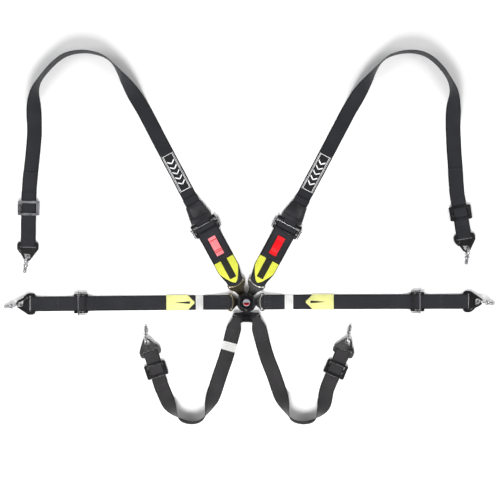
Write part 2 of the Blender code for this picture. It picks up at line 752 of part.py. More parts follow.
def make_crotch_tongue():
    """The bat-wing tongue: one stem, and a slanted slot in each wing."""
    right = [(0.0075, -0.016, 0), (0.011, -0.024, 0), (0.012, -0.033, 0.002), (0.030, -0.0350, 0.010),
             (0.0413, -0.0351, 0.005), (0.0502, -0.0504, 0.005), (0.0156, -0.0704, 0.004),
             (0.010, -0.064, 0.004)]
    outline = [*right, *[(-x, y, radius) for x, y, radius in reversed(right)]]
    holes = [circle(0, -PIN_PLACE, 0.0033)]
    for sign in (-1, 1):
        turn = math.radians(-90 + sign * (90 - CROTCH_SLOT_HEADING))
        ahead = Vector((math.cos(turn), math.sin(turn)))
        across = Vector((-ahead.y, ahead.x)) * 0.0165
        spot = Vector((sign * CROTCH_SLOT[0], CROTCH_SLOT[1])) + ahead * 0.0004
        deep = ahead * 0.0024
        holes.append([spot - deep - across, spot + deep - across, spot + deep + across, spot - deep + across])
    mesh = slab_mesh("crotch_tongue", fillet(outline), holes, TONGUE_LOW, TONGUE_HIGH)
    add_object("crotch_tongue", mesh, Matrix.Identity(4), "polished_steel")


# ---------------------------------------------------------------- buckle


def knob_wave(turn, radius, height):
    """Six shallow lobes round the knob's flank, none at its crown or its spindle."""
    if radius < 0.02:
        return 1.0
    depth = 0.075 * smooth((height - HOUSING_TOP - 0.002) / 0.006)
    return 1 - depth * (0.5 + 0.5 * math.cos(KNOB_LOBES * turn)) ** 2


def make_buckle():
    headings = [0, 180, 270, TONGUE_HEADINGS["left"], TONGUE_HEADINGS["right"]]
    base = BACK_PLATE + GAP
    shell = [(0, base), (HOUSING_RADIUS, base), (HOUSING_RADIUS, HOUSING_TOP - 0.002),
             (HOUSING_RADIUS - 0.002, HOUSING_TOP), (0, HOUSING_TOP)]
    housing = add_object(
        "buckle_housing", lathe_mesh("housing", shell, 32), Matrix.Identity(4), "black_steel"
    )
    roof = HOUSING_TOP - 0.002
    hollow = lathe_mesh("hollow", [(0, -0.1), (CAVITY_RADIUS, -0.1), (CAVITY_RADIUS, roof), (0, roof)], 24)
    hole = lathe_mesh("hole", [(0, -0.1), (0.0052, -0.1), (0.0052, 0.1), (0, 0.1)], 16)
    tools = [(hollow, Matrix.Identity(4)), (hole, Matrix.Identity(4))]
    for heading in headings:
        window = box_mesh(0.005, 0.05, -WINDOW_HALF, WINDOW_HALF, TONGUE_LOW - 0.0005, TONGUE_HIGH + 0.0005)
        tools.append((window, frame(0, 0, heading)))
    carve(housing, tools)
    plate = lathe_mesh("back", [(0, 0), (0.0320, 0), (HOUSING_RADIUS, 0.001), (HOUSING_RADIUS, BACK_PLATE),
                                (0, BACK_PLATE)], 32)
    add_object("buckle_back_plate", plate, Matrix.Identity(4), "black_steel")
    foot = HOUSING_TOP + GAP
    knob = [
        (0, BACK_PLATE + GAP), (0.0040, BACK_PLATE + GAP), (0.0040, foot), (KNOB_RADIUS - 0.001, foot),
        (KNOB_RADIUS, foot + 0.001), (KNOB_RADIUS, foot + 0.004), (KNOB_RADIUS - 0.0012, foot + 0.009),
        (KNOB_RADIUS - 0.004, foot + 0.0135), (KNOB_RADIUS - 0.0085, foot + 0.0168),
        (0.0190, KNOB_TOP - 0.0006),
        (0.0140, KNOB_TOP), (0.0132, KNOB_TOP - 0.0010), (0, KNOB_TOP - 0.0010),
    ]
    add_object("release_knob", lathe_mesh("knob", knob, 36, knob_wave), Matrix.Identity(4), "black_gloss")
    face = KNOB_TOP - 0.0010 + GAP
    badge = lathe_mesh("badge", [(0, face), (0.0118, face), (0.0118, face + 0.0010), (0.0100, face + 0.0016),
                                 (0, face + 0.0018)], 28)
    add_object("knob_badge", badge, Matrix.Identity(4), "silver")
    cam = lathe_mesh("cam", [(0.0043, 0.0130), (0.0118, 0.0130), (0.0118, 0.0150), (0.0043, 0.0150)], 24)
    add_object("cam_plate", cam, Matrix.Identity(4), "steel")
    ring = lathe_mesh("latch", [(0.0150, 0.0130), (0.0280, 0.0130), (0.0280, 0.0148), (0.0150, 0.0148)], 24)
    latch = add_object("latch_pin_ring", ring, Matrix.Identity(4), "steel")
    pin = lathe_mesh("pin", [(0, 0.0109), (0.0025, 0.0109), (0.0025, 0.0140), (0, 0.0140)], 10)
    places = [frame(0, 0, heading) @ Matrix.Translation((PIN_PLACE, 0, 0)) for heading in headings]
    carve(latch, [(pin.copy(), place) for place in places], "UNION")
    turns, steps = 4, 10
    coil = []
    for step in range(turns * steps + 1):
        turn = 2 * math.pi * step / steps
        rise = 0.0043 + 0.0078 * step / (turns * steps)
        coil.append((0.0062 * math.cos(turn), 0.0062 * math.sin(turn), rise))
    wire_object("return_spring", coil, 0.0006, Matrix.Identity(4), "steel", 0)


LOOKS = {}


def make_looks():
    looks = {
        "webbing": ((0.035, 0.036, 0.040), 0.85, 0.0),
        "red_webbing": ((0.75, 0.03, 0.03), 0.6, 0.0),
        "rubber": ((0.02, 0.02, 0.02), 0.5, 0.0),
        "black_steel": ((0.02, 0.02, 0.022), 0.3, 0.6),
        "black_gloss": ((0.012, 0.012, 0.014), 0.12, 0.0),
        "polished_steel": ((0.55, 0.52, 0.46), 0.2, 1.0),
        "chrome": ((0.75, 0.75, 0.76), 0.12, 1.0),
        "steel": ((0.45, 0.45, 0.46), 0.35, 1.0),
        "silver": ((0.7, 0.7, 0.72), 0.25, 1.0),
    }
    for name, look in looks.items():
        LOOKS[name] = material(name, *look)


def main():
    clear_scene()
    make_looks()
    make_buckle()
    make_crotch_tongue()
    for side in ("left", "right"):
        make_lap(side)
        make_shoulder(side)
        make_crotch(side)


main()
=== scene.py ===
"""The looks of the racing harness: webbing, stitching, patches, metal and moulded parts round the frame."""

import math
import random

import bmesh
import bpy
from mathutils import Matrix, Vector


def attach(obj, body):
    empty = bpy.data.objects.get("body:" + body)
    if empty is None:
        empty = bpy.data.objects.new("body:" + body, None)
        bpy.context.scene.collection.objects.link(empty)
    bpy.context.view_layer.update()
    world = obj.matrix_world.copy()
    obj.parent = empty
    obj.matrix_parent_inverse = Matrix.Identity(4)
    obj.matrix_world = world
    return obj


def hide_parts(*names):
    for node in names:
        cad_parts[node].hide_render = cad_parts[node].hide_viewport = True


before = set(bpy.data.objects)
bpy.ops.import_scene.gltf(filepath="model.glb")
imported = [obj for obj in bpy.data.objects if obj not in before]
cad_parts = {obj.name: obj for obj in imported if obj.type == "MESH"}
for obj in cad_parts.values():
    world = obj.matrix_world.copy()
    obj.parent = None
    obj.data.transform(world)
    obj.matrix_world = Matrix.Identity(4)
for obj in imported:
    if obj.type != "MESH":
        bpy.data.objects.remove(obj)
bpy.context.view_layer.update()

# Webbing, as in the frame
LAP_WIDTH = 0.050
SHOULDER_WIDTH = 0.076
WEB = 0.0015
GAP = 0.0003
CLEAR = 0.0001
FLOOR_PLY = 0.0002 + WEB / 2
SECOND_PLY = FLOOR_PLY + WEB + GAP
FLOOR_TOP = FLOOR_PLY + WEB / 2
SECOND_TOP = SECOND_PLY + WEB / 2
SLIDE_PLY = 0.00465
LOOP_RADIUS = 0.0021
TONGUE_LOW, TONGUE_HIGH = 0.0075, 0.0105
UNDER_TONGUE = TONGUE_LOW - GAP - WEB / 2
OVER_TONGUE = TONGUE_HIGH + GAP + WEB / 2
TURN_AT, TURN_TOP = 0.0062, 0.01245
REAR_TURN, REAR_PLY = 0.0105, 0.00575
LAP_ADJUSTER = {"left": 0.562, "right": 0.580}
SHOULDER_ADJUSTER = {"left": 0.2916, "right": 0.2890}
SHOULDER_HEADING = {"left": 118.5, "right": 61.5}
KNOB_RADIUS, KNOB_TOP, KNOB_FOOT = 0.0335, 0.038, 0.0198
# Each hook's place, heading and its eye bolt's swing
HOOKS = {
    "lap_left": (-0.7170, -0.0065, 180.0, 7.5),
    "lap_right": (0.7360, 0.0020, 0.0, -12.0),
    "shoulder_left": (-0.7420, 0.2040, 268.8, -13.0),
    "shoulder_right": (0.7375, 0.2320, 279.0, -11.0),
    "crotch_left": (-0.3220, -0.1830, 108.0, -16.0),
    "crotch_right": (0.3235, -0.1800, 66.7, 11.0),
}
# How far the slide, and the free end, are from the hook
SLIDES = {
    "shoulder_left": (0.115, 0.238),
    "shoulder_right": (0.072, 0.225),
    "crotch_left": (0.050, 0.122),
    "crotch_right": (0.052, 0.122),
}
# Each strap's way over the surface, as (x, y) places. The first stretch is the same on both sides
SHOULDER_RISE = [
    (0.1918, 0.3533), (0.301, 0.560), (0.355, 0.662), (0.412, 0.750), (0.464, 0.818), (0.515, 0.842),
    (0.573, 0.845),
]
CROTCH_DROP = [(0.0355, -0.066), (0.049, -0.113), (0.067, -0.180)]
ROUTES = {
    "shoulder_left": [(-x, y) for x, y in SHOULDER_RISE] + [
        (-0.627, 0.826), (-0.680, 0.775), (-0.711, 0.724), (-0.720, 0.655), (-0.722, 0.560), (-0.730, 0.470),
    ],
    "shoulder_right": SHOULDER_RISE + [
        (0.622, 0.826), (0.668, 0.780), (0.697, 0.722), (0.701, 0.655), (0.704, 0.545), (0.709, 0.470),
    ],
    "crotch_left": [(-x, y) for x, y in CROTCH_DROP] + [
        (-0.0935, -0.258), (-0.119, -0.335), (-0.140, -0.386), (-0.177, -0.406), (-0.224, -0.394),
        (-0.259, -0.352),
    ],
    "crotch_right": CROTCH_DROP + [
        (0.0965, -0.258), (0.123, -0.335), (0.145, -0.388), (0.185, -0.406), (0.229, -0.396), (0.260, -0.355),
    ],
}
# Where each strap starts to roll on its edge, lies on it, leaves it, and is flat again
ROLLS = {
    "shoulder_left": [(-0.350, 0.655), (-0.470, 0.822), (-0.690, 0.762), (-0.721, 0.590)],
    "shoulder_right": [(0.350, 0.655), (0.470, 0.822), (0.678, 0.762), (0.703, 0.590)],
    "crotch_left": [(-0.105, -0.293), (-0.150, -0.395), (-0.212, -0.400), (-0.272, -0.320)],
    "crotch_right": [(0.108, -0.293), (0.155, -0.395), (0.216, -0.400), (0.270, -0.325)],
}
CROTCH_SLOT = (0.028, -0.052)
TONGUE_FOLD = {"lap": 0.0517, "shoulder": 0.0713}
ADJUSTER_HALF = {"lap": 0.0302, "shoulder": 0.0432}
BODY = {
    "lap_left": "buckle",
    "lap_right": "lap_right_strap",
    "shoulder_left": "shoulder_left_strap",
    "shoulder_right": "shoulder_right_strap",
    "crotch_left": "crotch_straps",
    "crotch_right": "crotch_straps",
}


# ---------------------------------------------------------------- camera, light and floor


def make_stage():
    """The camera over the harness, a bright studio round it, and white paper under it."""
    camera = bpy.data.cameras.new("camera")
    camera.lens = 63.5
    camera.sensor_width = 36
    eye = bpy.data.objects.new("camera", camera)
    eye.location = (0.0119, 0.1768, 3.0)
    bpy.context.scene.collection.objects.link(eye)
    bpy.context.scene.camera = eye
    bpy.context.scene.view_settings.view_transform = "Standard"
    world = bpy.data.worlds.new("studio")
    bpy.context.scene.world = world
    world.use_nodes = True
    nodes = Nodes(world.node_tree)
    split = nodes.add("SeparateXYZ")
    nodes.link(nodes.add("TexCoord").outputs["Generated"], split.inputs[0])
    heights = nodes.add("ValToRGB")
    nodes.link(split.outputs["Z"], heights.inputs[0])
    colours = heights.color_ramp.elements
    colours[0].position, colours[0].color = 0.0, (0.75, 0.75, 0.76, 1)
    colours[1].position, colours[1].color = 0.55, (1, 1, 1, 1)
    colours.new(0.93).color = (0.30, 0.30, 0.31, 1)
    # The walls at the left and right are the bright ones, so that edges shine there and stay dark along Y
    sides = nodes.math("POWER", split.outputs["X"], 2)
    sky = nodes.tree.nodes["Background"]
    nodes.link(nodes.math("MULTIPLY_ADD", sides, 0.95, 0.32), sky.inputs["Strength"])
    nodes.link(heights.outputs[0], sky.inputs["Color"])
    for name, place, size, power in (
        ("key", (-0.25, -2.1, 2.2), 1.2, 112),
        ("fill_left", (-2.6, 0.6, 1.9), 1.6, 34),
        ("fill_right", (2.6, 0.6, 1.9), 1.6, 34),
    ):
        lamp = bpy.data.lights.new(name, "AREA")
        lamp.size = size
        lamp.energy = power
        made = bpy.data.objects.new(name, lamp)
        made.location = place
        aim = Vector((0, 0.15, 0)) - Vector(place)
        made.rotation_euler = aim.to_track_quat("-Z", "Y").to_euler()
        bpy.context.scene.collection.objects.link(made)
    mesh = bpy.data.meshes.new("floor")
    reach = 12
    mesh.from_pydata(
        [(-reach, -reach, 0), (reach, -reach, 0), (reach, reach, 0), (-reach, reach, 0)], [],
        [(0, 1, 2, 3)],
    )
    floor = bpy.data.objects.new("floor", mesh)
    bpy.context.scene.collection.objects.link(floor)
    paper = bpy.data.materials.new("paper")
    paper.use_nodes = True
    shader = paper.node_tree.nodes["Principled BSDF"]
    shader.inputs["Base Color"].default_value = (0.93, 0.93, 0.93, 1)
    shader.inputs["Roughness"].default_value = 0.9
    mesh.materials.append(paper)


# ---------------------------------------------------------------- materials


LOOKS = {}


class Nodes:
    """A small helper that adds and links the nodes of one tree."""

    def __init__(self, tree):
        self.tree = tree

    def add(self, kind, **settings):
        node = self.tree.nodes.new("ShaderNode" + kind)
        for name, value in settings.items():
            if name in node.inputs:
                node.inputs[name].default_value = value
            else:
                setattr(node, name, value)
        return node

    def link(self, source, target):
        self.tree.links.new(source, target)

    def math(self, operation, *values):
        node = self.add("Math", operation=operation)
        for index, value in enumerate(values):
            if isinstance(value, (int, float)):
                node.inputs[index].default_value = value
            else:
                self.link(value, node.inputs[index])
        return node.outputs[0]

    def mix(self, factor, one, two):
        node = self.add("Mix", data_type="RGBA")
        self.link(factor, node.inputs[0])
        for index, value in ((6, one), (7, two)):
            if isinstance(value, tuple):
                node.inputs[index].default_value = (*value, 1)
            else:
                self.link(value, node.inputs[index])
        return node.outputs[2]

    def noise(self, scale, detail=3.0, vector=None):
        node = self.add("TexNoise", Scale=scale, Detail=detail)
        if vector is None:
            vector = self.add("TexCoord").outputs["Object"]
        self.link(vector, node.inputs["Vector"])
        return node.outputs[0]

    def ramp(self, source, low, high, one=0.0, two=1.0):
        node = self.add("MapRange")
        self.link(source, node.inputs[0])
        for index, value in enumerate((low, high, one, two), 1):
            node.inputs[index].default_value = value
        return node.outputs[0]


class Look(Nodes):
    """One Principled material."""

    def __init__(self, name, colour, roughness, metallic=0.0, **sockets):
        self.material = bpy.data.materials.new(name)
        self.material.use_nodes = True
        super().__init__(self.material.node_tree)
        self.shader = self.tree.nodes["Principled BSDF"]
        self.put("Base Color", (*colour, 1))
        self.put("Roughness", roughness)
        self.put("Metallic", metallic)
        for socket, value in sockets.items():
            self.put(socket.replace("_", " "), value)
        LOOKS[name] = self.material

    def put(self, socket, value):
        self.shader.inputs[socket].default_value = value

    def bump(self, height, distance, strength=1.0):
        node = self.add("Bump", Strength=strength, Distance=distance)
        self.link(height, node.inputs["Height"])
        self.link(node.outputs[0], self.shader.inputs["Normal"])

    def tint(self, colour, factor):
        """The base colour is a colour, or a socket, times a factor."""
        scaled = self.add("VectorMath", operation="SCALE")
        if isinstance(colour, tuple):
            scaled.inputs[0].default_value = colour
        else:
            self.link(colour, scaled.inputs[0])
        self.link(factor, scaled.inputs["Scale"])
        self.link(scaled.outputs[0], self.shader.inputs["Base Color"])

    def gloss(self, source, low, high, one, two):
        """The roughness runs from one to two while the source runs from low to high."""
        self.link(self.ramp(source, low, high, one, two), self.shader.inputs["Roughness"])


def woven(name, colour, edge, rough=0.75, sheen=0.3, width_ribs=34, pitch=0.0021):
    """Webbing with chevron-woven ribs. The UV map holds the place across, 0 to 1, and along, in metres."""
    made = Look(name, colour, rough, Sheen_Weight=sheen, Sheen_Roughness=0.5, Specular_IOR_Level=0.15)
    spot = made.add("UVMap").outputs[0]
    split = made.add("SeparateXYZ")
    made.link(spot, split.inputs[0])
    across, along = split.outputs[0], split.outputs[1]
    ribs = made.math("MULTIPLY", across, width_ribs * math.pi)
    zigzag = made.math("PINGPONG", made.math("MULTIPLY", across, width_ribs / 4), 1)
    phase = made.math(
        "ADD", made.math("MULTIPLY", along, 2 * math.pi / pitch), made.math("MULTIPLY", zigzag, 9.0)
    )
    weft = made.math("MULTIPLY", made.math("ADD", made.math("SINE", phase), 1), 0.5)
    warp = made.math("ABSOLUTE", made.math("SINE", ribs))
    height = made.math("ADD", made.math("MULTIPLY", warp, 0.6), made.math("MULTIPLY", weft, 0.4))
    fuzz = made.noise(900.0, 2.0)
    height = made.math("ADD", height, made.math("MULTIPLY", fuzz, 0.35))
    made.bump(height, 0.0004, 0.7)
    side = made.math("ABSOLUTE", made.math("SUBTRACT", across, 0.5))
    rim = made.ramp(side, 0.41, 0.465)
    patches = made.noise(11.0, 4.0)
    light = made.ramp(patches, 0.3, 0.7, 0.80, 1.25)
    # Painted shade: the colour darkens where the weave's height is low, in its grooves
    weave_shade = made.ramp(height, 0.2, 1.1, 0.72, 1.12)
    made.tint(made.mix(rim, colour, edge), made.math("MULTIPLY", light, weave_shade))
    made.gloss(fuzz, 0.3, 0.7, rough - 0.08, rough + 0.1)


def metal(name, colour, rough, brushed=0.0):
    """Bare or plated metal with fine scratches and smudges."""
    made = Look(name, colour, rough, 1.0)
    smudge = made.noise(38.0, 5.0)
    made.gloss(smudge, 0.35, 0.7, rough * 0.7, rough * 1.6)
    made.tint(colour, made.ramp(smudge, 0.3, 0.75, 0.85, 1.0))
    stretch = made.add("Mapping", Scale=(1, 14, 1))
    made.link(made.add("TexCoord").outputs["Object"], stretch.inputs[0])
    made.bump(made.noise(420.0, 2.0, stretch.outputs[0]), 0.00006, 0.25 + brushed)


def coated(name, colour, rough, grain=0.15, metallic=0.0, **sockets):
    """Paint, plastic or rubber: a faint orange-peel grain and uneven gloss."""
    made = Look(name, colour, rough, metallic, **sockets)
    smudge = made.noise(26.0, 5.0)
    made.gloss(smudge, 0.3, 0.7, rough * 0.75, rough * 1.45)
    made.tint(colour, made.ramp(smudge, 0.3, 0.7, 0.8, 1.3))
    made.bump(made.noise(650.0, 2.0), 0.00012, grain)


def tongue_steel(name):
    """Polished plate with painted warm reflections on one side, paler painted reflections on the other, and
    painted shade close to the hub.
    """
    made = Look(name, (0.6, 0.6, 0.6), 0.12, 1.0)
    spot = made.add("TexCoord").outputs["Object"]
    split = made.add("SeparateXYZ")
    made.link(spot, split.inputs[0])
    side = made.ramp(split.outputs[0], -0.02, 0.03)
    length = made.add("VectorMath", operation="LENGTH")
    made.link(spot, length.inputs[0])
    swirl = made.ramp(made.noise(60.0, 3.0, spot), 0.3, 0.7, -0.006, 0.006)
    reach = made.math("ADD", length.outputs["Value"], swirl)
    # Painted reflection: warm colour on the left side of the hub, pale on the right
    plate = made.mix(side, (0.50, 0.42, 0.26), (0.86, 0.86, 0.84))
    # Painted shade: the colour falls toward the hub, full from about 56 mm out and 6 per cent at 36 mm
    made.tint(plate, made.ramp(reach, 0.036, 0.056, 0.06, 1.0))
    made.gloss(made.noise(38.0, 5.0), 0.35, 0.7, 0.08, 0.22)
    made.bump(made.noise(420.0, 2.0), 0.00006, 0.25)


woven("webbing", (0.018, 0.0185, 0.022), (0.004, 0.004, 0.005), sheen=0.12)
woven("crotch_webbing", (0.024, 0.0225, 0.024), (0.006, 0.006, 0.006), sheen=0.15)
woven("strip_webbing", (0.020, 0.021, 0.014), (0.006, 0.006, 0.004), sheen=0.1, width_ribs=16)
coated("thread", (0.040, 0.040, 0.043), 0.5, 0.5)
woven("red_webbing", (0.72, 0.004, 0.010), (0.40, 0.003, 0.006), 0.55, 0.05, 20, 0.0016)
# Painted highlight: a paler, pinker copy of the red webbing, for the sheen on the left pull tab
woven("highlit_red_webbing", (0.76, 0.20, 0.22), (0.62, 0.06, 0.08), 0.55, 0.1, 20, 0.0016)
woven("yellow_cloth", (0.68, 0.70, 0.075), (0.60, 0.62, 0.06), 0.6, 0.05, 60, 0.0011)
woven("white_cloth", (0.60, 0.60, 0.59), (0.50, 0.50, 0.50), 0.7, 0.05, 40, 0.0012)
coated("tab_thread", (0.46, 0.006, 0.014), 0.5, 0.4)
coated("grey_print", (0.32, 0.32, 0.33), 0.7)
woven("emblem_black", (0.010, 0.010, 0.012), (0.010, 0.010, 0.012), 0.5, 0.2, 60, 0.0011)
coated("emblem_white", (0.85, 0.85, 0.86), 0.5, 0.3)
coated("black_steel", (0.008, 0.007, 0.008), 0.28, 0.12, Coat_Weight=0.2)
coated("slide_steel", (0.012, 0.012, 0.013), 0.24, 0.12, 0.3, Coat_Weight=0.3)
coated("black_gloss", (0.005, 0.005, 0.006), 0.20, 0.05, Coat_Weight=0.08, Specular_IOR_Level=0.25)
coated("rubber", (0.020, 0.019, 0.022), 0.33, 0.25, Coat_Weight=0.25)
tongue_steel("polished_steel")
metal("chrome", (0.40, 0.40, 0.41), 0.20)
metal("steel", (0.075, 0.075, 0.08), 0.36, 0.2)
metal("wire", (0.24, 0.24, 0.25), 0.30)
metal("silver_slide", (0.42, 0.42, 0.44), 0.30)
coated("badge_silver", (0.30, 0.31, 0.34), 0.42, 0.1, 0.5)
# Painted reflection: the rims come in a pale copy and a warm copy of one metal
metal("tongue_rim", (0.56, 0.55, 0.51), 0.32)
metal("warm_reflection_rim", (0.40, 0.34, 0.23), 0.32)
woven("pale_yellow", (0.70, 0.70, 0.26), (0.62, 0.62, 0.22), 0.6, 0.05, 60, 0.0011)
coated("badge_red", (0.30, 0.010, 0.014), 0.25, 0.1, Coat_Weight=0.5)


# ---------------------------------------------------------------- pieces


def add_piece(name, build, look, body, replaces=None, smooth=35):
    """Makes a piece from a bmesh in the frame's own place, and says what it rides on."""
    bmesh.ops.recalc_face_normals(build, faces=build.faces)
    mesh = bpy.data.meshes.new(name)
    build.to_mesh(mesh)
    build.free()
    if smooth:
        mesh.shade_smooth()
        mesh.set_sharp_from_angle(angle=math.radians(smooth))
    mesh.materials.append(LOOKS[look])
    made = bpy.data.objects.new(name, mesh)
    bpy.context.scene.collection.objects.link(made)
    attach(made, body)
    if replaces:
        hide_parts(replaces)
    return made


def bevelled(made, width, segments, angle):
    """Soft edges, as a modifier, so that the mesh itself stays as it is."""
    step = made.modifiers.new("edges", "BEVEL")
    step.width = width
    step.segments = segments
    step.limit_method = "ANGLE"
    step.angle_limit = math.radians(angle)


def local(x, y, heading):
    """A frame at a place on the surface, with its X along a heading."""
    return Matrix.Translation((x, y, 0)) @ Matrix.Rotation(math.radians(heading), 4, "Z")


def bridge(build, one, two):
    """Joins two rings of as many points with four-sided faces."""
    turned = zip(one, one[1:] + one[:1], two[1:] + two[:1], two)
    return [build.faces.new(corners) for corners in turned]


def tube(build, rings):
    """Joins rings into a closed solid, and returns its sides and its two ends."""
    sides = [face for one, two in zip(rings, rings[1:]) for face in bridge(build, one, two)]
    return sides, [build.faces.new(rings[0]), build.faces.new(rings[-1][::-1])]


def prism(build, outline, low, high, place=Matrix.Identity(4)):
    """Adds a block with an outline of (x, y) points between two heights."""
    under, over = ([build.verts.new(place @ Vector((x, y, z))) for x, y in outline] for z in (low, high))
    ends = [build.faces.new(under[::-1]), build.faces.new(over)]
    bridge(build, under, over)
    if len(outline) > 4:
        bmesh.ops.triangulate(build, faces=ends)


def arc(wide, deep, first, last, steps):
    """Points of an ellipse round the origin, between two angles in degrees."""
    turns = [math.radians(first + (last - first) * step / steps) for step in range(steps + 1)]
    return [(wide * math.cos(turn), deep * math.sin(turn)) for turn in turns]


def lathe(build, profile, steps, place, wave=None):
    """Adds a turned solid: (radius, height) points, a radius of 0 closing an end."""
    rings = []
    for radius, height in profile:
        if radius == 0:
            rings.append([build.verts.new(place @ Vector((0, 0, height)))])
            continue
        ring = []
        for step in range(steps):
            turn = 2 * math.pi * step / steps
            reach = radius * (wave(turn, radius, height) if wave else 1)
            spot = Vector((reach * math.cos(turn), reach * math.sin(turn), height))
            ring.append(build.verts.new(place @ spot))
        rings.append(ring)
    pairs = list(zip(rings, rings[1:]))
    if profile[0][0] != 0:
        pairs.append((rings[-1], rings[0]))
    for one, two in pairs:
        if len(one) == len(two):
            bridge(build, one, two)
            continue
        for step in range(steps):
            ahead = (step + 1) % steps
            if len(one) == 1:
                build.faces.new([one[0], two[ahead], two[step]])
            else:
                build.faces.new([one[step], one[ahead], two[0]])


def smooth(value):
    """0 to 1 with a soft start and end."""
    value = max(0.0, min(1.0, value))
    return value * value * (3 - 2 * value)


def fillet(points, closed=True, steps=4):
    """Rounds each corner (a, b, radius) of an outline or of an open line."""
    found = []
    count = len(points)
    for index, (a, b, radius) in enumerate(points):
        here = Vector((a, b))
        if radius <= 0 or (not closed and index in (0, count - 1)):
            found.append(here)
            continue
        back = Vector(points[index - 1][:2]) - here
        ahead = Vector(points[(index + 1) % count][:2]) - here
        shorter = min(back.length, ahead.length)
        back.normalize()
        ahead.normalize()
        half = math.acos(max(-1.0, min(1.0, back.dot(ahead)))) / 2
        reach = min(radius / math.tan(half), 0.48 * shorter)
        if reach < 2e-5:
            found.append(here)
            continue
        centre = here + (back + ahead).normalized() * (reach / math.cos(half))
        first = here + back * reach - centre
        turn = first.angle_signed(here + ahead * reach - centre)
        for step in range(steps + 1):
            found.append(centre + first @ Matrix.Rotation(turn * step / steps, 2))
    return found


class Route:
    """A smooth line over the surface, read by the distance along it."""

    def __init__(self, points, spacing=0.003):
        self.spots = []
        ends = [points[0] * 2 - points[1], *points, points[-1] * 2 - points[-2]]
        for a, b, c, d in zip(ends, ends[1:], ends[2:], ends[3:]):
            parts = max(1, round((c - b).length / spacing))
            for part in range(parts):
                t = part / parts
                bend, twist = 2 * a - 5 * b + 4 * c - d, 3 * b - a - 3 * c + d
                self.spots.append(0.5 * (2 * b + (c - a) * t + bend * t**2 + twist * t**3))
        self.spots.append(points[-1])
        self.marks = [0.0]
        for one, two in zip(self.spots, self.spots[1:]):
            self.marks.append(self.marks[-1] + (two - one).length)
        self.length = self.marks[-1]

    def at(self, distance):
        index = 0
        while index < len(self.marks) - 2 and self.marks[index + 1] < distance:
            index += 1
        one, two = self.spots[index], self.spots[index + 1]
        before = self.spots[max(0, index - 1)]
        after = self.spots[min(len(self.spots) - 1, index + 2)]
        part = (distance - self.marks[index]) / (self.marks[index + 1] - self.marks[index])
        lean = max(0.0, min(1.0, part))
        ahead = (two - before).normalized().lerp((after - one).normalized(), lean)
        return one + (two - one) * part, ahead.normalized()

    def nearest(self, x, y):
        spot = Vector((x, y))
        index = min(range(len(self.spots)), key=lambda place: (self.spots[place] - spot).length)
        return self.marks[index]

    def spot(self, distance, lateral, height):
        """A point at a distance along, to the left by lateral, and up by height."""
        place, ahead = self.at(distance)
        return Vector((place.x - ahead.y * lateral, place.y + ahead.x * lateral, height))


def straight_route(heading, length):
    """A straight line from the hub."""
    turn = math.radians(heading)
    return Route([Vector((0, 0)), Vector((math.cos(turn), math.sin(turn))) * length])


def strap_route(name, start):
    """The line of a curved strap from its start to its hook, and the distance of the hook along it."""
    x, y, heading, _ = HOOKS[name]
    end = Vector((x, y))
    turn = math.radians(heading)
    ahead = Vector((math.cos(turn), math.sin(turn)))
    approach = SLIDES[name][0] + 0.070
    points = [*start, *[Vector(point) for point in ROUTES[name]]]
    points += [end - ahead * approach, end - ahead * approach / 2, end, end + ahead * 0.03]
    route = Route(points)
    return route, route.length - 0.03


def strap_roll(name, route, end):
    """How far a strap is rolled on its edge, as an angle by the distance along it."""
    marks = [route.nearest(*spot) for spot in ROLLS[name]]

    def roll(distance):
        if distance > end - 0.10:
            return 0.0
        rise = smooth((distance - marks[0]) / (marks[1] - marks[0]))
        fall = smooth((distance - marks[2]) / (marks[3] - marks[2]))
        return math.pi / 2 * (rise - fall)

    return roll


def subdivide(line, step):
    """The same line with a point at least every step."""
    found = [line[0]]
    for one, two in zip(line, line[1:]):
        parts = max(1, math.ceil((two - one).length / step))
        found.extend(one.lerp(two, part / parts) for part in range(1, parts + 1))
    return found


def section(wide):
    """The webbing's outline across: rounded selvedges, a thin groove beside each, and a flat middle."""
    half, thick = wide / 2, WEB / 2
    upper = [(-half, 0.0), (-half + 0.0002, 0.6 * thick), (-half + 0.0007, thick), (-half + 0.0030, thick)]
    upper += [(-half + 0.0036, 0.80 * thick), (-half + 0.0043, 0.97 * thick)]
    upper += [(-half * 0.45, thick), (0, thick)]
    upper += [(-a, b) for a, b in reversed(upper[:-1])]
    return upper + [(a, -b) for a, b in reversed(upper[1:-1])]


def webbing(name, route, profile, width, look, body, node, roll=None, side=1, step=0.006, ripple=0.0):
    """A length of webbing along a route, with a UV map: across from 0 to 1, along in metres."""
    line = subdivide(fillet(profile, closed=False, steps=5), step)
    chance = random.Random(name)
    phases = [chance.uniform(0, 6.28) for _ in range(3)]
    build = bmesh.new()
    layer = build.loops.layers.uv.new("UVMap")
    rings, uvs = [], {}
    gone = 0.0
    for index, (distance, height) in enumerate(line):
        spot, ahead = route.at(distance)
        before = line[max(0, index - 1)]
        after = line[min(len(line) - 1, index + 1)]
        gone += (line[index] - before).length
        slope = (after - before).normalized()
        lean = roll(distance) if roll else 0.0
        across = Vector((-ahead.y, ahead.x, 0)) * math.cos(lean) + Vector((0, 0, side * math.sin(lean)))
        forward = Vector((ahead.x * slope.x, ahead.y * slope.x, slope.y))
        normal = forward.cross(across).normalized()
        wide = width(distance) if callable(width) else width
        lift = wide / 2 * math.sin(lean) - WEB / 2 * (1 - math.cos(lean))
        centre = Vector((spot.x, spot.y, height + lift))
        wave = ripple * (math.sin(gone * 31 + phases[0]) + math.sin(gone * 73 + phases[1]))
        centre += across * wave * 0.25
        outline = section(wide)
        rings.append([build.verts.new(centre + across * a + normal * b) for a, b in outline])
        uvs.update({vert: (0.5 + a / wide, gone) for vert, (a, _) in zip(rings[-1], outline)})
    sides, ends = tube(build, rings)
    for face in sides:
        for loop in face.loops:
            loop[layer].uv = uvs[loop.vert]
    for face in ends:
        for loop in face.loops:
            loop[layer].uv = (0.5, uvs[loop.vert][1])
    made = add_piece(name, build, look, body, node, smooth=50)
    flat_width = width if not callable(width) else width(route.length * 0.5)
    return line


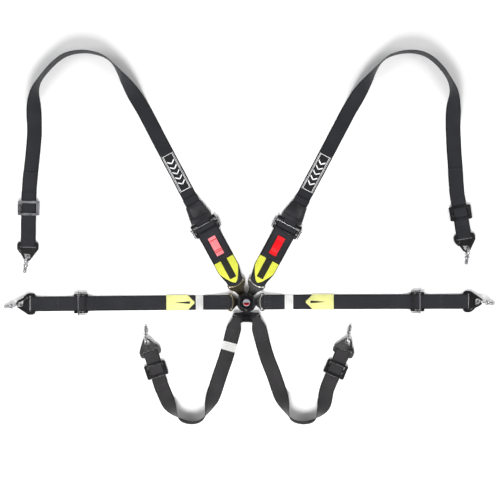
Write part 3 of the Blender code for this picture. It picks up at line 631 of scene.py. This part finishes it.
def ply_height(line, low, high):
    """The height of one ply of a webbing's line between two marks, for what is sewn on it."""
    ply = sorted((spot.x, spot.y) for spot in line if low <= spot.x <= high)

    def height(distance):
        for (d0, z0), (d1, z1) in zip(ply, ply[1:]):
            if d0 <= distance <= d1 and d1 > d0:
                return z0 + (z1 - z0) * (distance - d0) / (d1 - d0)
        return ply[0][1] if distance < ply[0][0] else ply[-1][1]

    return height


def flat_at(height):
    return lambda distance: height


def raised(height, by):
    """The same height function, lifted."""
    return lambda distance: height(distance) + by


def band(start, stop, half, parts=1):
    """The stations of a patch that is as wide all along."""
    return [(start + (stop - start) * part / parts, -half, half) for part in range(parts + 1)]


def strip(build, route, stations, height, thick, layer=None):
    """Adds a thin closed patch from (distance, right, left) stations. height reads the face it lies on."""
    rings, uvs = [], {}
    for distance, right, left in stations:
        low = height(distance)
        inset = min(thick * 0.8, (left - right) * 0.2)
        places = (
            (right, 0), (right, thick * 0.6), (right + inset, thick), ((right + left) / 2, thick * 1.05),
            (left - inset, thick), (left, thick * 0.6), (left, 0),
        )
        rings.append([build.verts.new(route.spot(distance, lateral, low + up)) for lateral, up in places])
        uvs.update({vert: (0.5 + lateral / 0.09, distance) for vert, (lateral, _) in zip(rings[-1], places)})
    sides, _ = tube(build, rings)
    if layer:
        for face in sides:
            for loop in face.loops:
                loop[layer].uv = uvs[loop.vert]


def patch(name, route, stations, height, thick, look, body):
    """A sewn or printed patch as a piece of its own."""
    build = bmesh.new()
    layer = build.loops.layers.uv.new("UVMap")
    strip(build, route, stations, height, thick, layer)
    return add_piece(name, build, look, body, smooth=45)


def label_lines(name, route, first, step, reaches, height, body):
    """Plain grey lines, where a label has its print."""
    build = bmesh.new()
    for number, reach in enumerate(reaches):
        mark = first + step * number
        strip(build, route, band(mark, mark + 0.001, reach), flat_at(height), 0.0001)
    add_piece(name + "_label_lines", build, "grey_print", body)


def stitches(name, lines, body, look="thread"):
    """Rows of thread. Each line is (route, height, start (d, lateral), stop (d, lateral))."""
    pitch, radius = 0.0046, 0.00032
    outline = ((-1, 0), (-0.6, 0.8), (0.6, 0.8), (1, 0), (0.5, -0.8), (-0.5, -0.8))
    build = bmesh.new()
    for route, height, start, stop in lines:
        start, stop = Vector(start), Vector(stop)
        count = max(1, int((stop - start).length / pitch))
        for number in range(count):
            pair = [start.lerp(stop, (number + part) / count) for part in (0.12, 0.80)]
            ends = [route.spot(p.x, p.y, height(p.x)) for p in pair]
            along = (ends[1] - ends[0]).normalized()
            side = along.cross(Vector((0, 0, 1))).normalized() * radius
            rings = []
            for part, scale in ((0.0, 0.35), (0.22, 1.0), (0.78, 1.0), (1.0, 0.35)):
                middle = ends[0].lerp(ends[1], part) + Vector((0, 0, radius * 0.35 * scale))
                rings.append([
                    build.verts.new(middle + side * (scale * a) + Vector((0, 0, radius * scale * b)))
                    for a, b in outline
                ])
            tube(build, rings)
    add_piece(name, build, look, body, smooth=60)


def across_lines(route, height, marks, half):
    """Lines of thread straight across a strap."""
    return [(route, height, (mark, -half), (mark, half)) for mark in marks]


def box_stitch(route, height, start, stop, half, rows=2):
    """The lines of a sewn box with a W between its sides."""
    lines = []
    for row in range(rows):
        inset = 0.0022 * row
        a, b, w = start + inset, stop - inset, half - inset
        lines += across_lines(route, height, (a, b), w)
        lines += [(route, height, (a, lateral), (b, lateral)) for lateral in (-w, w)]
    slants = 4
    for number in range(slants):
        low = -half + 2 * half * number / slants
        high = -half + 2 * half * (number + 1) / slants
        ends = (start, stop) if number % 2 == 0 else (stop, start)
        lines.append((route, height, (ends[0], low), (ends[1], high)))
    return lines


# ---------------------------------------------------------------- straps


def hook_loop(end):
    """The webbing's turn round a hook plate's bar, from the floor ply up."""
    return [
        (end + 0.0162, FLOOR_PLY, LOOP_RADIUS), (end + 0.0162, 0.0083, LOOP_RADIUS),
        (end - 0.0010, 0.0063, 0.01), (end - 0.0140, SLIDE_PLY, 0.02),
    ]


def adjuster_turn(centre):
    """The webbing's way up and round an adjuster's bar, and back down to the floor ply."""
    return [
        (centre - 0.050, SECOND_PLY, 0.02), (centre - 0.020, TURN_TOP - 0.0030, 0.02),
        (centre - 0.009, TURN_TOP, 0.012), (centre + TURN_AT, TURN_TOP, 0.0055),
        (centre + TURN_AT, FLOOR_PLY, 0.0055),
    ]


def fold_narrowing(distance, start):
    """1 where the webbing is folded round a tongue's bar, and 0 past the stretch where it widens again."""
    return (1 - max(0.0, min(1.0, (distance - start) / 0.014))) ** 1.6


def slide_end(name, end):
    """The last stretch of a strap with a slide: to the hook, round it, and back through the slide."""
    slide, free_end = SLIDES[name]
    low = end - slide - 0.050
    return [
        *hook_loop(end), (low, SLIDE_PLY, 0.02), (low - 0.010, SECOND_PLY, 0.02),
        (end - free_end, SECOND_PLY, 0),
    ]


def lap_heading(side):
    """The direction from the hub to a lap strap's hook."""
    x, y, _, _ = HOOKS["lap_" + side]
    return math.degrees(math.atan2(y, x))


def make_lap(side):
    """A lap strap: the inner and outer webbing, the sewn end, the label and the yellow arrow."""
    name = "lap_" + side
    body = BODY[name]
    end = abs(HOOKS[name][0])
    route = straight_route(lap_heading(side), 0.9)
    centre = LAP_ADJUSTER[side]
    fold_at = TONGUE_FOLD["lap"]
    sewn_end = {"left": 0.142, "right": 0.1275}[side]
    tail_end = {"left": 0.178, "right": 0.203}[side]
    inner = [
        (tail_end, SECOND_PLY, 0), *adjuster_turn(centre),
        (0.135, FLOOR_PLY, 0.05), (0.066, UNDER_TONGUE, 0.02), (fold_at, UNDER_TONGUE, LOOP_RADIUS),
        (fold_at, OVER_TONGUE, LOOP_RADIUS), (0.068, OVER_TONGUE, 0.02), (0.118, SECOND_PLY + 0.0018, 0.05),
        (sewn_end, SECOND_PLY + 0.0002, 0),
    ]

    def fold(distance):
        return LAP_WIDTH - 0.015 * fold_narrowing(distance, 0.0505)

    line = webbing(name + "_inner_strap", route, inner, fold, "webbing", body, name + "_inner_webbing")
    tail = {"left": 0.652, "right": 0.655}[side]
    outer = [
        (centre + 0.062, FLOOR_PLY, 0), (centre + REAR_TURN, FLOOR_PLY, LOOP_RADIUS),
        (centre + REAR_TURN, REAR_PLY, LOOP_RADIUS), (centre + 0.026, REAR_PLY, 0.01),
        (centre + 0.040, SECOND_PLY, 0.02), (centre + 0.066, SECOND_PLY, 0.02),
        (centre + 0.078, SECOND_PLY, 0.02), *reversed(hook_loop(end)), (tail, FLOOR_PLY, 0),
    ]
    webbing(name + "_outer_strap", route, outer, LAP_WIDTH, "webbing", body, name + "_outer_webbing")

    # The sewn end is the line's last stretch, above the ply that it lies on
    parting = 0.0026
    top_line = [spot for spot in line[len(line) // 2:] if spot.x < sewn_end + 0.001]
    upper = []
    for spot in top_line:
        climb = (OVER_TONGUE - parting) * smooth((0.11 - spot.x) / 0.05)
        if spot.y > parting + climb - 0.002:
            upper.append(spot)
    above = raised(ply_height(upper, 0.054, sewn_end), WEB / 2)
    first, last = 0.060, sewn_end - 0.003
    lines = box_stitch(route, above, first, last, 0.0215, 2)
    for number in range(5):
        lateral = -0.016 + 0.008 * number
        lines.append((route, above, (first + 0.004, lateral), (last - 0.004, lateral)))
    stitches(name + "_sewn_end_thread", lines, body)

    near, far = {"left": (0.1475, 0.1725), "right": (0.1300, 0.1585)}[side]
    low = FLOOR_TOP if side == "left" else FLOOR_TOP + CLEAR
    patch(name + "_label", route, band(near, far, 0.0247), flat_at(low), 0.0004, "white_cloth", body)
    step = (far - near) * 0.2
    reaches = (0.016, 0.010, 0.014, 0.008)
    label_lines(name, route, near + step - 0.0005, step, reaches, FLOOR_TOP + 0.0006, body)

    tip, base = {"left": (0.178, 0.272), "right": (0.203, 0.296)}[side]
    shape = [(tip - 0.001, -0.004, 0.004), (tip + 0.003, -0.0065, 0.0065), (tip + 0.021, -0.0250, 0.0250)]
    shape += band(tip + 0.030, base, 0.0262)
    patch(name + "_yellow_arrow", route, shape, flat_at(SECOND_TOP + CLEAR), 0.0009, "pale_yellow", body)
    mid = tip + 0.014
    wedge = [(mid, -0.0042, 0.0042), (mid + 0.012, -0.0036, 0.0036), (mid + 0.050, -0.0004, 0.0004)]
    patch(name + "_arrow_slit", route, wedge, flat_at(SECOND_TOP + 0.0009), 0.0003, "emblem_black", body)
    seam, edge = base - 0.003, 0.023
    top = flat_at(SECOND_TOP + 0.0011)
    thread = across_lines(route, top, [seam], edge)
    thread += [(route, top, (tip + 0.030, lateral), (seam, lateral)) for lateral in (-edge, edge)]
    stitches(name + "_arrow_thread", thread, body, "grey_print")
    anchor = centre + 0.078
    rows = box_stitch(route, flat_at(SECOND_TOP), anchor, anchor + 0.028, 0.021, 1)
    stitches(name + "_anchor_thread", rows, body)


def make_shoulder(side):
    """A shoulder strap: the wide lower webbing with its patch and tab, the cuff, and the upper webbing."""
    name = "shoulder_" + side
    body = BODY[name]
    route = straight_route(SHOULDER_HEADING[side], 0.6)
    centre = SHOULDER_ADJUSTER[side]
    fold_at = TONGUE_FOLD["shoulder"]
    descent = [
        (centre + TURN_AT, FLOOR_PLY, 0.0055), (0.158, FLOOR_PLY, 0.03), (0.135, SECOND_PLY, 0.04),
        (0.090, OVER_TONGUE, 0.02), (fold_at, OVER_TONGUE, LOOP_RADIUS), (fold_at, UNDER_TONGUE, LOOP_RADIUS),
    ]
    lower = [
        (0.165, SECOND_PLY, 0), *adjuster_turn(centre)[:-1], *descent, (0.086, UNDER_TONGUE, 0.02),
        (0.115, FLOOR_PLY, 0.02), (0.145, FLOOR_PLY, 0),
    ]
    narrow = 0.056

    def taper(distance):
        fold = 0.014 * fold_narrowing(distance, 0.0700)
        return narrow - fold + (SHOULDER_WIDTH - narrow) * smooth((distance - 0.080) / 0.055)

    webbing(name + "_lower_strap", route, lower, taper, "webbing", body, name + "_lower_webbing")
    above = raised(ply_height(fillet(descent, closed=False, steps=5), 0.0735, 0.3), WEB / 2)
    make_yellow_patch(name, route, taper, above, body)
    make_pull_tab(name, side, route, centre, body)
    stitches(name + "_hem_thread", across_lines(route, flat_at(SECOND_TOP), (0.1685, 0.1725), 0.036), body)
    make_upper_strap(name, side, route, centre, body)
    make_cuff(name, route, centre, body)


def make_yellow_patch(name, route, taper, above, body):
    """The yellow patch by the tongue, pointed at that end, with a dark strip on it."""
    stations = []
    for distance, _, _ in band(0.0765, 0.1635, 0, 16):
        part = max(0.0, (distance - 0.0765) / 0.050)
        reach = min(taper(distance) / 2 - 0.0022, 0.002 + 0.034 * part**0.72)
        stations.append((distance, -reach, reach))
    patch(name + "_yellow_patch", route, stations, above, 0.0007, "yellow_cloth", body)
    strip_stations = band(0.094, 0.164, 0.0118, 8)
    patch(name + "_centre_strip", route, strip_stations, raised(above, 0.0007), 0.0012, "strip_webbing", body)
    top, seam, edge = raised(above, 0.0019), 0.0965, 0.010
    lines = across_lines(route, top, [seam], edge)
    lines += [(route, top, (seam, lateral), (0.160, lateral)) for lateral in (-edge, edge)]
    stitches(name + "_strip_thread", lines, body)


def make_pull_tab(name, side, route, centre, body):
    """The tab of red webbing, sewn down at both ends and arched a little between them, and its bands."""
    low, arch, thick = SECOND_TOP + GAP, 0.0035, 0.0015
    start, stop = 0.183, 0.251
    climb_at, climb = centre - 0.0525, (TURN_TOP - 0.0030 - SECOND_PLY) / 0.030

    def height(distance):
        part = max(0.0, min(1.0, (distance - start) / (stop - start)))
        return low + arch * math.sin(math.pi * part) ** 2 + climb * max(0.0, distance - climb_at)

    # Painted highlight: the left tab takes the paler copy of the red webbing
    look = "highlit_red_webbing" if side == "left" else "red_webbing"
    stations = band(start, stop, 0.0135, 32)
    made = patch(name + "_red_tab", route, stations, height, thick, look, body)
    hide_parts(name + "_pull_tab")
    build = bmesh.new()
    for mark in (0.1950, 0.2010, 0.2375):
        strip(build, route, band(mark, mark + 0.0030, 0.0128), raised(height, thick), 0.0003)
    add_piece(name + "_tab_bands", build, "tab_thread", body, smooth=0)


def make_free_end(name, route, end, first, body):
    """The two hems across a free end that lies under the strap's own loop."""
    start = end - SLIDES[name][1] + first
    lines = across_lines(route, flat_at(SECOND_TOP), (start, start + 0.003), 0.022)
    stitches(name + "_free_end_thread", lines, body)


def make_upper_strap(name, side, line_route, centre, body):
    """The narrow webbing from the adjuster to the hook, which rolls on its edge and back on the way."""
    lead = [line_route.at(centre + distance)[0] for distance in (REAR_TURN, 0.060)]
    route, end = strap_route(name, lead)
    profile = [
        (0.085, FLOOR_PLY, 0), (0, FLOOR_PLY, LOOP_RADIUS), (0, REAR_PLY, LOOP_RADIUS),
        (0.0155, REAR_PLY, 0.01), (0.0260, SECOND_PLY, 0.01), (0.092, SECOND_PLY, 0.02),
        (0.108, FLOOR_PLY, 0.02), *slide_end(name, end),
    ]
    webbing(
        name + "_upper_strap", route, profile, LAP_WIDTH, "webbing", body, name + "_upper_webbing",
        strap_roll(name, route, end), 1 if side == "right" else -1, ripple=0.0006,
    )
    make_emblem(name, route, body)
    make_free_end(name, route, end, 0.003, body)


def outline_strips(build, route, start, stop, half, wide, height, thick):
    """A rectangle drawn with four thin raised strips."""
    for right in (-half, half - wide):
        strip(build, route, [(mark, right, right + wide) for mark in (start, stop)], height, thick)
    for mark in (start, stop - wide):
        strip(build, route, band(mark, mark + wide, half - wide), height, thick)


def make_emblem(name, route, body):
    """A woven patch with a double white border round a row of plain chevrons."""
    start, stop = 0.130, 0.268
    low, print_thick = FLOOR_TOP + 0.0006, 0.0003
    top = flat_at(low)
    stations = band(start, stop, 0.0235, 2)
    patch(name + "_emblem_patch", route, stations, flat_at(FLOOR_TOP + CLEAR), 0.0005, "emblem_black", body)
    build = bmesh.new()
    outline_strips(build, route, start + 0.002, stop - 0.002, 0.0172, 0.0015, top, print_thick)
    for right, left in ((-0.0206, -0.0197), (0.0197, 0.0206)):
        strip(build, route, [(mark, right, left) for mark, _, _ in stations], top, print_thick)
    chevrons, pitch, arm, slope, wide, parts = 5, 0.0195, 0.0120, 0.8, 0.0048, 4
    for number in range(chevrons):
        tip = start + 0.022 + pitch * number
        for sign in (-1, 1):
            line = []
            for part in range(parts + 1):
                lateral = 0.0005 + arm * part / parts
                line.append((tip + lateral * slope, sign * lateral))
            for (d0, l0), (d1, l1) in zip(line, line[1:]):
                corners = ((d0, l0), (d1, l1), (d1 + wide, l1), (d0 + wide, l0))
                outline = [route.spot(distance, lateral, 0).xy for distance, lateral in corners]
                prism(build, outline, low, low + print_thick)
    add_piece(name + "_emblem_lines", build, "emblem_white", body, smooth=0)


def make_cuff(name, route, centre, body):
    """The moulded cuff's panel, ridge and skirt, and the keeper band above it."""
    start, stop, keeper = centre + 0.043, centre + 0.078, centre + 0.091
    low = flat_at(0.0064)
    panel = [
        (start, -0.021, 0.021), (start + 0.002, -0.022, 0.022),
        (stop - 0.002, -0.018, 0.018), (stop, -0.017, 0.017),
    ]
    patch(name + "_cuff_panel", route, panel, low, 0.0014, "rubber", body)
    ridge = [(stop + 0.003, -0.0275, 0.0275), (stop + 0.0065, -0.0270, 0.0270)]
    patch(name + "_cuff_ridge", route, ridge, low, 0.0010, "rubber", body)
    skirt = [
        (centre + 0.0250, -0.0370, 0.0370), (centre + 0.0300, -0.0382, 0.0382),
        (centre + 0.0385, -0.0380, 0.0380),
    ]
    patch(name + "_cuff_skirt", route, skirt, flat_at(0.0069), 0.0018, "rubber", body)
    loop = [
        (keeper, -0.0262, 0.0262), *band(keeper + 0.004, keeper + 0.018, 0.0264),
        (keeper + 0.022, -0.0262, 0.0262),
    ]
    patch(name + "_keeper", route, loop, flat_at(SECOND_TOP + 0.0002), 0.0016, "webbing", body)


def make_crotch(side):
    """A crotch strap, sewn round the crotch tongue's slot. The left one has a label."""
    name = "crotch_" + side
    body = BODY[name]
    x, y = CROTCH_SLOT
    route, end = strap_route(name, [Vector((-x if side == "left" else x, y))])
    profile = [
        (0.088, SECOND_PLY, 0), (0.070, SECOND_PLY + 0.0005, 0.02), (0.014, OVER_TONGUE, 0.02),
        (0, OVER_TONGUE, LOOP_RADIUS), (0, UNDER_TONGUE, LOOP_RADIUS), (0.012, UNDER_TONGUE, 0.02),
        (0.062, FLOOR_PLY, 0.03), *slide_end(name, end),
    ]
    narrow = 0.031

    def taper(distance):
        return narrow + (LAP_WIDTH - narrow) * smooth((distance - 0.006) / 0.038)

    webbing(
        name + "_strap", route, profile, taper, "crotch_webbing", body, name + "_webbing",
        strap_roll(name, route, end), 1 if side == "right" else -1, ripple=0.0006,
    )
    above = raised(ply_height(fillet(profile[:4], closed=False, steps=5), 0.004, 0.088), WEB / 2)
    stitches(name + "_sewn_thread", box_stitch(route, above, 0.046, 0.085, 0.0205, 1), body)
    make_free_end(name, route, end, 0.004, body)
    if side == "left":
        label = [(mark, -0.0248, 0.0248) for mark in (0.090, 0.104, 0.119)]
        patch(name + "_label", route, label, flat_at(FLOOR_TOP), 0.0004, "white_cloth", body)
        label_lines(name, route, 0.096, 0.0055, (0.016, 0.012, 0.015, 0.009), FLOOR_TOP + 0.0004, body)


# ---------------------------------------------------------------- hardware


def knob_wave(turn, radius, height):
    """Six shallow lobes, which fade out toward the knob's foot."""
    if radius < 0.02:
        return 1.0
    depth = 0.075 * smooth((height - KNOB_FOOT - 0.0017) / 0.006)
    return 1 - depth * (0.5 + 0.5 * math.cos(6 * turn)) ** 2


def knurl(turn, radius, height):
    """Fine ridges on the thick stretch of an adjuster's bar."""
    return 1 + (0.03 if radius > 0.0038 else 0) * math.cos(28 * turn)


def make_knob():
    """The release knob: a lobed flank that runs up to a dished crown with a badge."""
    foot, dish = KNOB_FOOT, KNOB_TOP - 0.0010
    spindle, spindle_foot = 0.0040, 0.0036
    build = bmesh.new()
    profile = fillet([
        (spindle, spindle_foot, 0), (spindle, foot, 0), (KNOB_RADIUS - 0.001, foot, 0),
        (KNOB_RADIUS, foot + 0.001, 0.0005), (KNOB_RADIUS, foot + 0.004, 0.003),
        (KNOB_RADIUS - 0.0012, foot + 0.009, 0.005), (KNOB_RADIUS - 0.004, foot + 0.0135, 0.004),
        (KNOB_RADIUS - 0.0085, foot + 0.0168, 0.004), (0.0190, KNOB_TOP - 0.0006, 0.006),
        (0.0140, KNOB_TOP, 0.001), (0.0132, dish, 0.0003), (0.0120, dish, 0),
    ], closed=False, steps=4)
    points = [(0, spindle_foot), *[(p.x, p.y) for p in profile], (0, dish)]
    lathe(build, points, 144, Matrix.Identity(4), knob_wave)
    add_piece("knob_moulding", build, "black_gloss", "knob", "release_knob", smooth=40)
    build = bmesh.new()
    for number in range(6):
        turn = math.radians(30 + 60 * number)
        place = Matrix.Rotation(turn, 4, "Z") @ Matrix.Translation((0.0262, 0, KNOB_TOP - 0.0031))
        place = place @ Matrix.Rotation(math.radians(24), 4, "Y") @ Matrix.Diagonal((1.35, 0.55, 0.35, 1))
        bmesh.ops.create_uvsphere(build, u_segments=20, v_segments=12, radius=0.0042, matrix=place)
    add_piece("knob_grips", build, "black_gloss", "knob", smooth=60)
    build = bmesh.new()
    badge, waist, face = 0.0104, 0.0035, KNOB_TOP + 0.0011
    outline = arc(badge, badge, 180, 360, 24) + arc(badge, waist, 360, 180, 24)[1:-1]
    prism(build, outline, face - 0.0003, face + 0.0003)
    add_piece("badge_crescent", build, "badge_red", "knob", smooth=0)


def make_tongue_rim(name, heading, fold, look):
    """The rolled rim round a tongue's slot, and a black crescent between it and the webbing, painted shade in
    that gap.
    """
    body = BODY[name]
    place = local(0, 0, heading)
    middle, deep, half, wire = fold + 0.0080, 0.0145, 0.0268, 0.0013
    steps = 40
    curve = arc(deep, half, -96, 96, steps)
    spine = [Vector((middle - x, y, TONGUE_HIGH + 0.0004)) for x, y in curve]
    build = bmesh.new()
    rings = []
    for index, spot in enumerate(spine):
        along = (spine[min(steps, index + 1)] - spine[max(0, index - 1)]).normalized()
        side = along.cross(Vector((0, 0, 1)))
        thick = wire * min(1.0, 0.35 + 0.65 * smooth(min(index, steps - index) / 4))
        circle = arc(thick, thick, 0, 360, 12)[:-1]
        rings.append([build.verts.new(place @ (spot + side * a + Vector((0, 0, b)))) for a, b in circle])
    tube(build, rings)
    add_piece(name + "_tongue_rim", build, look, body, smooth=60)
    # Painted shade: a black crescent on the plate between the rim and the webbing's fold
    build = bmesh.new()
    flank = fold - 0.0004
    shade_outline = [(middle - x + 0.0012 * x / deep, y * 0.95) for x, y in curve[6:-6]]
    shade_outline = [(x, y) for x, y in shade_outline if x < flank]
    shade_outline += [(flank, shade_outline[-1][1]), (flank, shade_outline[0][1])]
    prism(build, shade_outline, TONGUE_HIGH, TONGUE_HIGH + 0.0008, place)
    add_piece(name + "_fold_shade", build, "rubber", body, smooth=0)


def rounded_box(build, place, size, radius, segments):
    """Adds a box with rounded edges, by its middle and its size."""
    made = bmesh.ops.create_cube(build, size=1, matrix=place @ Matrix.Diagonal((*size, 1)))
    edges = list({edge for vertex in made["verts"] for edge in vertex.link_edges})
    bmesh.ops.bevel(build, geom=edges, offset=radius, segments=segments, affect="EDGES", profile=0.6)


def make_crotch_cover():
    """The black block over the crotch tongue's root, and its ribs."""
    build = bmesh.new()
    y = -0.0565
    rounded_box(build, Matrix.Translation((0, y, 0.0137)), (0.031, 0.022, 0.0058), 0.0018, 4)
    for step in (-1, 0, 1):
        rib = Matrix.Translation((0, y + 0.0052 * step, 0.0166))
        rounded_box(build, rib, (0.019, 0.0016, 0.0012), 0.0004, 2)
    add_piece("crotch_tongue_cover", build, "black_gloss", "crotch_straps", smooth=40)


def make_eye_bolt(name):
    """A forged eye, its collar, and a threaded shank."""
    x, y, heading, swing = HOOKS[name]
    turned = Matrix.Rotation(math.radians(swing), 4, "Z")
    seat = local(x, y, heading) @ Matrix.Translation((0.0494, 0.003, 0)) @ turned
    centre = seat @ Matrix.Translation((0.0111, 0, 0.0166))
    build = bmesh.new()
    ring, wire = 0.01275, 0.00375
    around = centre @ Matrix.Rotation(math.pi / 2, 4, "X")
    eye = [(ring + a, b) for a, b in arc(wire, wire, 0, 360, 18)[:-1]]
    lathe(build, eye, 56, around)
    neck, collar, thread, tip = 0.0143, 0.0177, 0.0243, 0.0465
    profile = [
        (0, neck), (0.0046, neck), (0.0050, neck + 0.0015), (0.0062, collar - 0.0004), (0.0080, collar),
        (0.0085, collar + 0.0006), (0.0085, collar + 0.0044), (0.0080, collar + 0.0050),
        (0.0050, collar + 0.0050), (0.0050, collar + 0.0062),
    ]
    pitch, root, crest = 0.00127, 0.0049, 0.0055
    for number in range(int((tip - 0.0012 - thread) / pitch)):
        base = thread + pitch * number
        profile += [(root, base), (crest, base + pitch * 0.42), (crest, base + pitch * 0.58)]
    profile += [(root, tip - 0.0010), (0.0044, tip), (0, tip)]
    lathe(build, profile, 28, centre @ Matrix.Rotation(math.radians(104), 4, "Y"))
    bolt = name + "_eye_bolt"
    add_piece(bolt + "_forging", build, "chrome", bolt, bolt, smooth=38)


def make_adjuster(name, distance, heading, half):
    """An adjuster's knurled bar, the heads on its wire's pivots, and the dark bridge over the webbing, which
    also stands in for the shade beside the turn.
    """
    place = local(0, 0, heading) @ Matrix.Translation((distance, 0, 0))
    outer = half + 0.0025
    pin, rim, thick = 0.0024, 0.0036, 0.00405
    side = [
        (thick, half - 0.0014), (rim, half - 0.0008), (pin, half - 0.0008), (pin, outer + 0.0012),
        (0, outer + 0.0012),
    ]
    bar = [(radius, -height) for radius, height in reversed(side)] + side
    build = bmesh.new()
    across = Matrix.Rotation(math.pi / 2, 4, "X")
    lathe(build, bar, 168, place @ Matrix.Translation((0.0005, 0, 0.0070)) @ across, knurl)
    node = name + "_adjuster_bar"
    add_piece(name + "_knurled_bar", build, "steel", node, node, smooth=50)
    head = [(0, 0), (0.0030, 0), (0.0034, 0.0006), (0.0032, 0.0016), (0.0018, 0.0024), (0, 0.0026)]
    build = bmesh.new()
    for sign in (-1, 1):
        spot = Matrix.Translation((0.0086, sign * (outer + 0.0047), 0.0085))
        lathe(build, head, 20, place @ spot @ Matrix.Rotation(-sign * math.pi / 2, 4, "X"))
    add_piece(name + "_pivot_heads", build, "black_steel", name + "_adjuster_bail", smooth=45)
    # Partly painted shade: the dark bridge is the frame's crossbar and also fills the shadow band beside the
    # webbing's turn
    build = bmesh.new()
    middle = place @ Matrix.Translation((-0.0150, 0, 0.0148))
    rounded_box(build, middle, (0.0070, 2 * half + 0.0048, 0.0017), 0.0006, 3)
    for sign in (-1, 1):
        leg = middle @ Matrix.Translation((0.0012, sign * (half + 0.0012), -0.0022))
        rounded_box(build, leg, (0.0046, 0.0023, 0.0048), 0.0006, 3)
    add_piece(name + "_adjuster_bridge_and_shade", build, "black_steel", BODY[name], smooth=40)


def dress_frame():
    """Gives each CAD piece that shows its material and soft edges."""
    for name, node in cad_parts.items():
        look, edge = "black_steel", 0.0005
        if name == "crotch_tongue":
            look = "slide_steel"
        elif "tongue" in name:
            look = "polished_steel"
        elif name == "shoulder_left_slide":
            look, edge = "silver_slide", 0.0010
        elif name.endswith("_slide"):
            look, edge = "slide_steel", 0.0010
        elif "bail" in name:
            look, edge = "wire", 0
        elif "cuff" in name:
            look, edge = "rubber", 0.0014
        elif name in ("cam_plate", "latch_pin_ring", "return_spring"):
            look, edge = "steel", 0
        elif name == "knob_badge":
            look, edge = "badge_silver", 0.0002
        elif "webbing" in name or "pull_tab" in name:
            continue
        node.data.materials.clear()
        node.data.materials.append(LOOKS[look])
        if edge:
            weld = node.modifiers.new("weld", "WELD")
            weld.merge_threshold = 0.00001
            bevelled(node, edge, 3 if edge > 0.0008 else 2, 38)


make_stage()
dress_frame()
make_knob()
make_crotch_cover()
for side_name in ("left", "right"):
    make_lap(side_name)
    make_shoulder(side_name)
    make_crotch(side_name)
    # Painted reflection: the left tongues' rims take the warm copy, the right ones the pale one
    rim_look = "warm_reflection_rim" if side_name == "left" else "tongue_rim"
    for family, place_along, strap_heading in (
        ("shoulder", SHOULDER_ADJUSTER[side_name], SHOULDER_HEADING[side_name]),
        ("lap", LAP_ADJUSTER[side_name], lap_heading(side_name)),
    ):
        strap = family + "_" + side_name
        make_tongue_rim(strap, strap_heading, TONGUE_FOLD[family], rim_look)
        make_adjuster(strap, place_along, strap_heading, ADJUSTER_HALF[family])
for hook_name in HOOKS:
    make_eye_bolt(hook_name)

bpy.context.view_layer.update()
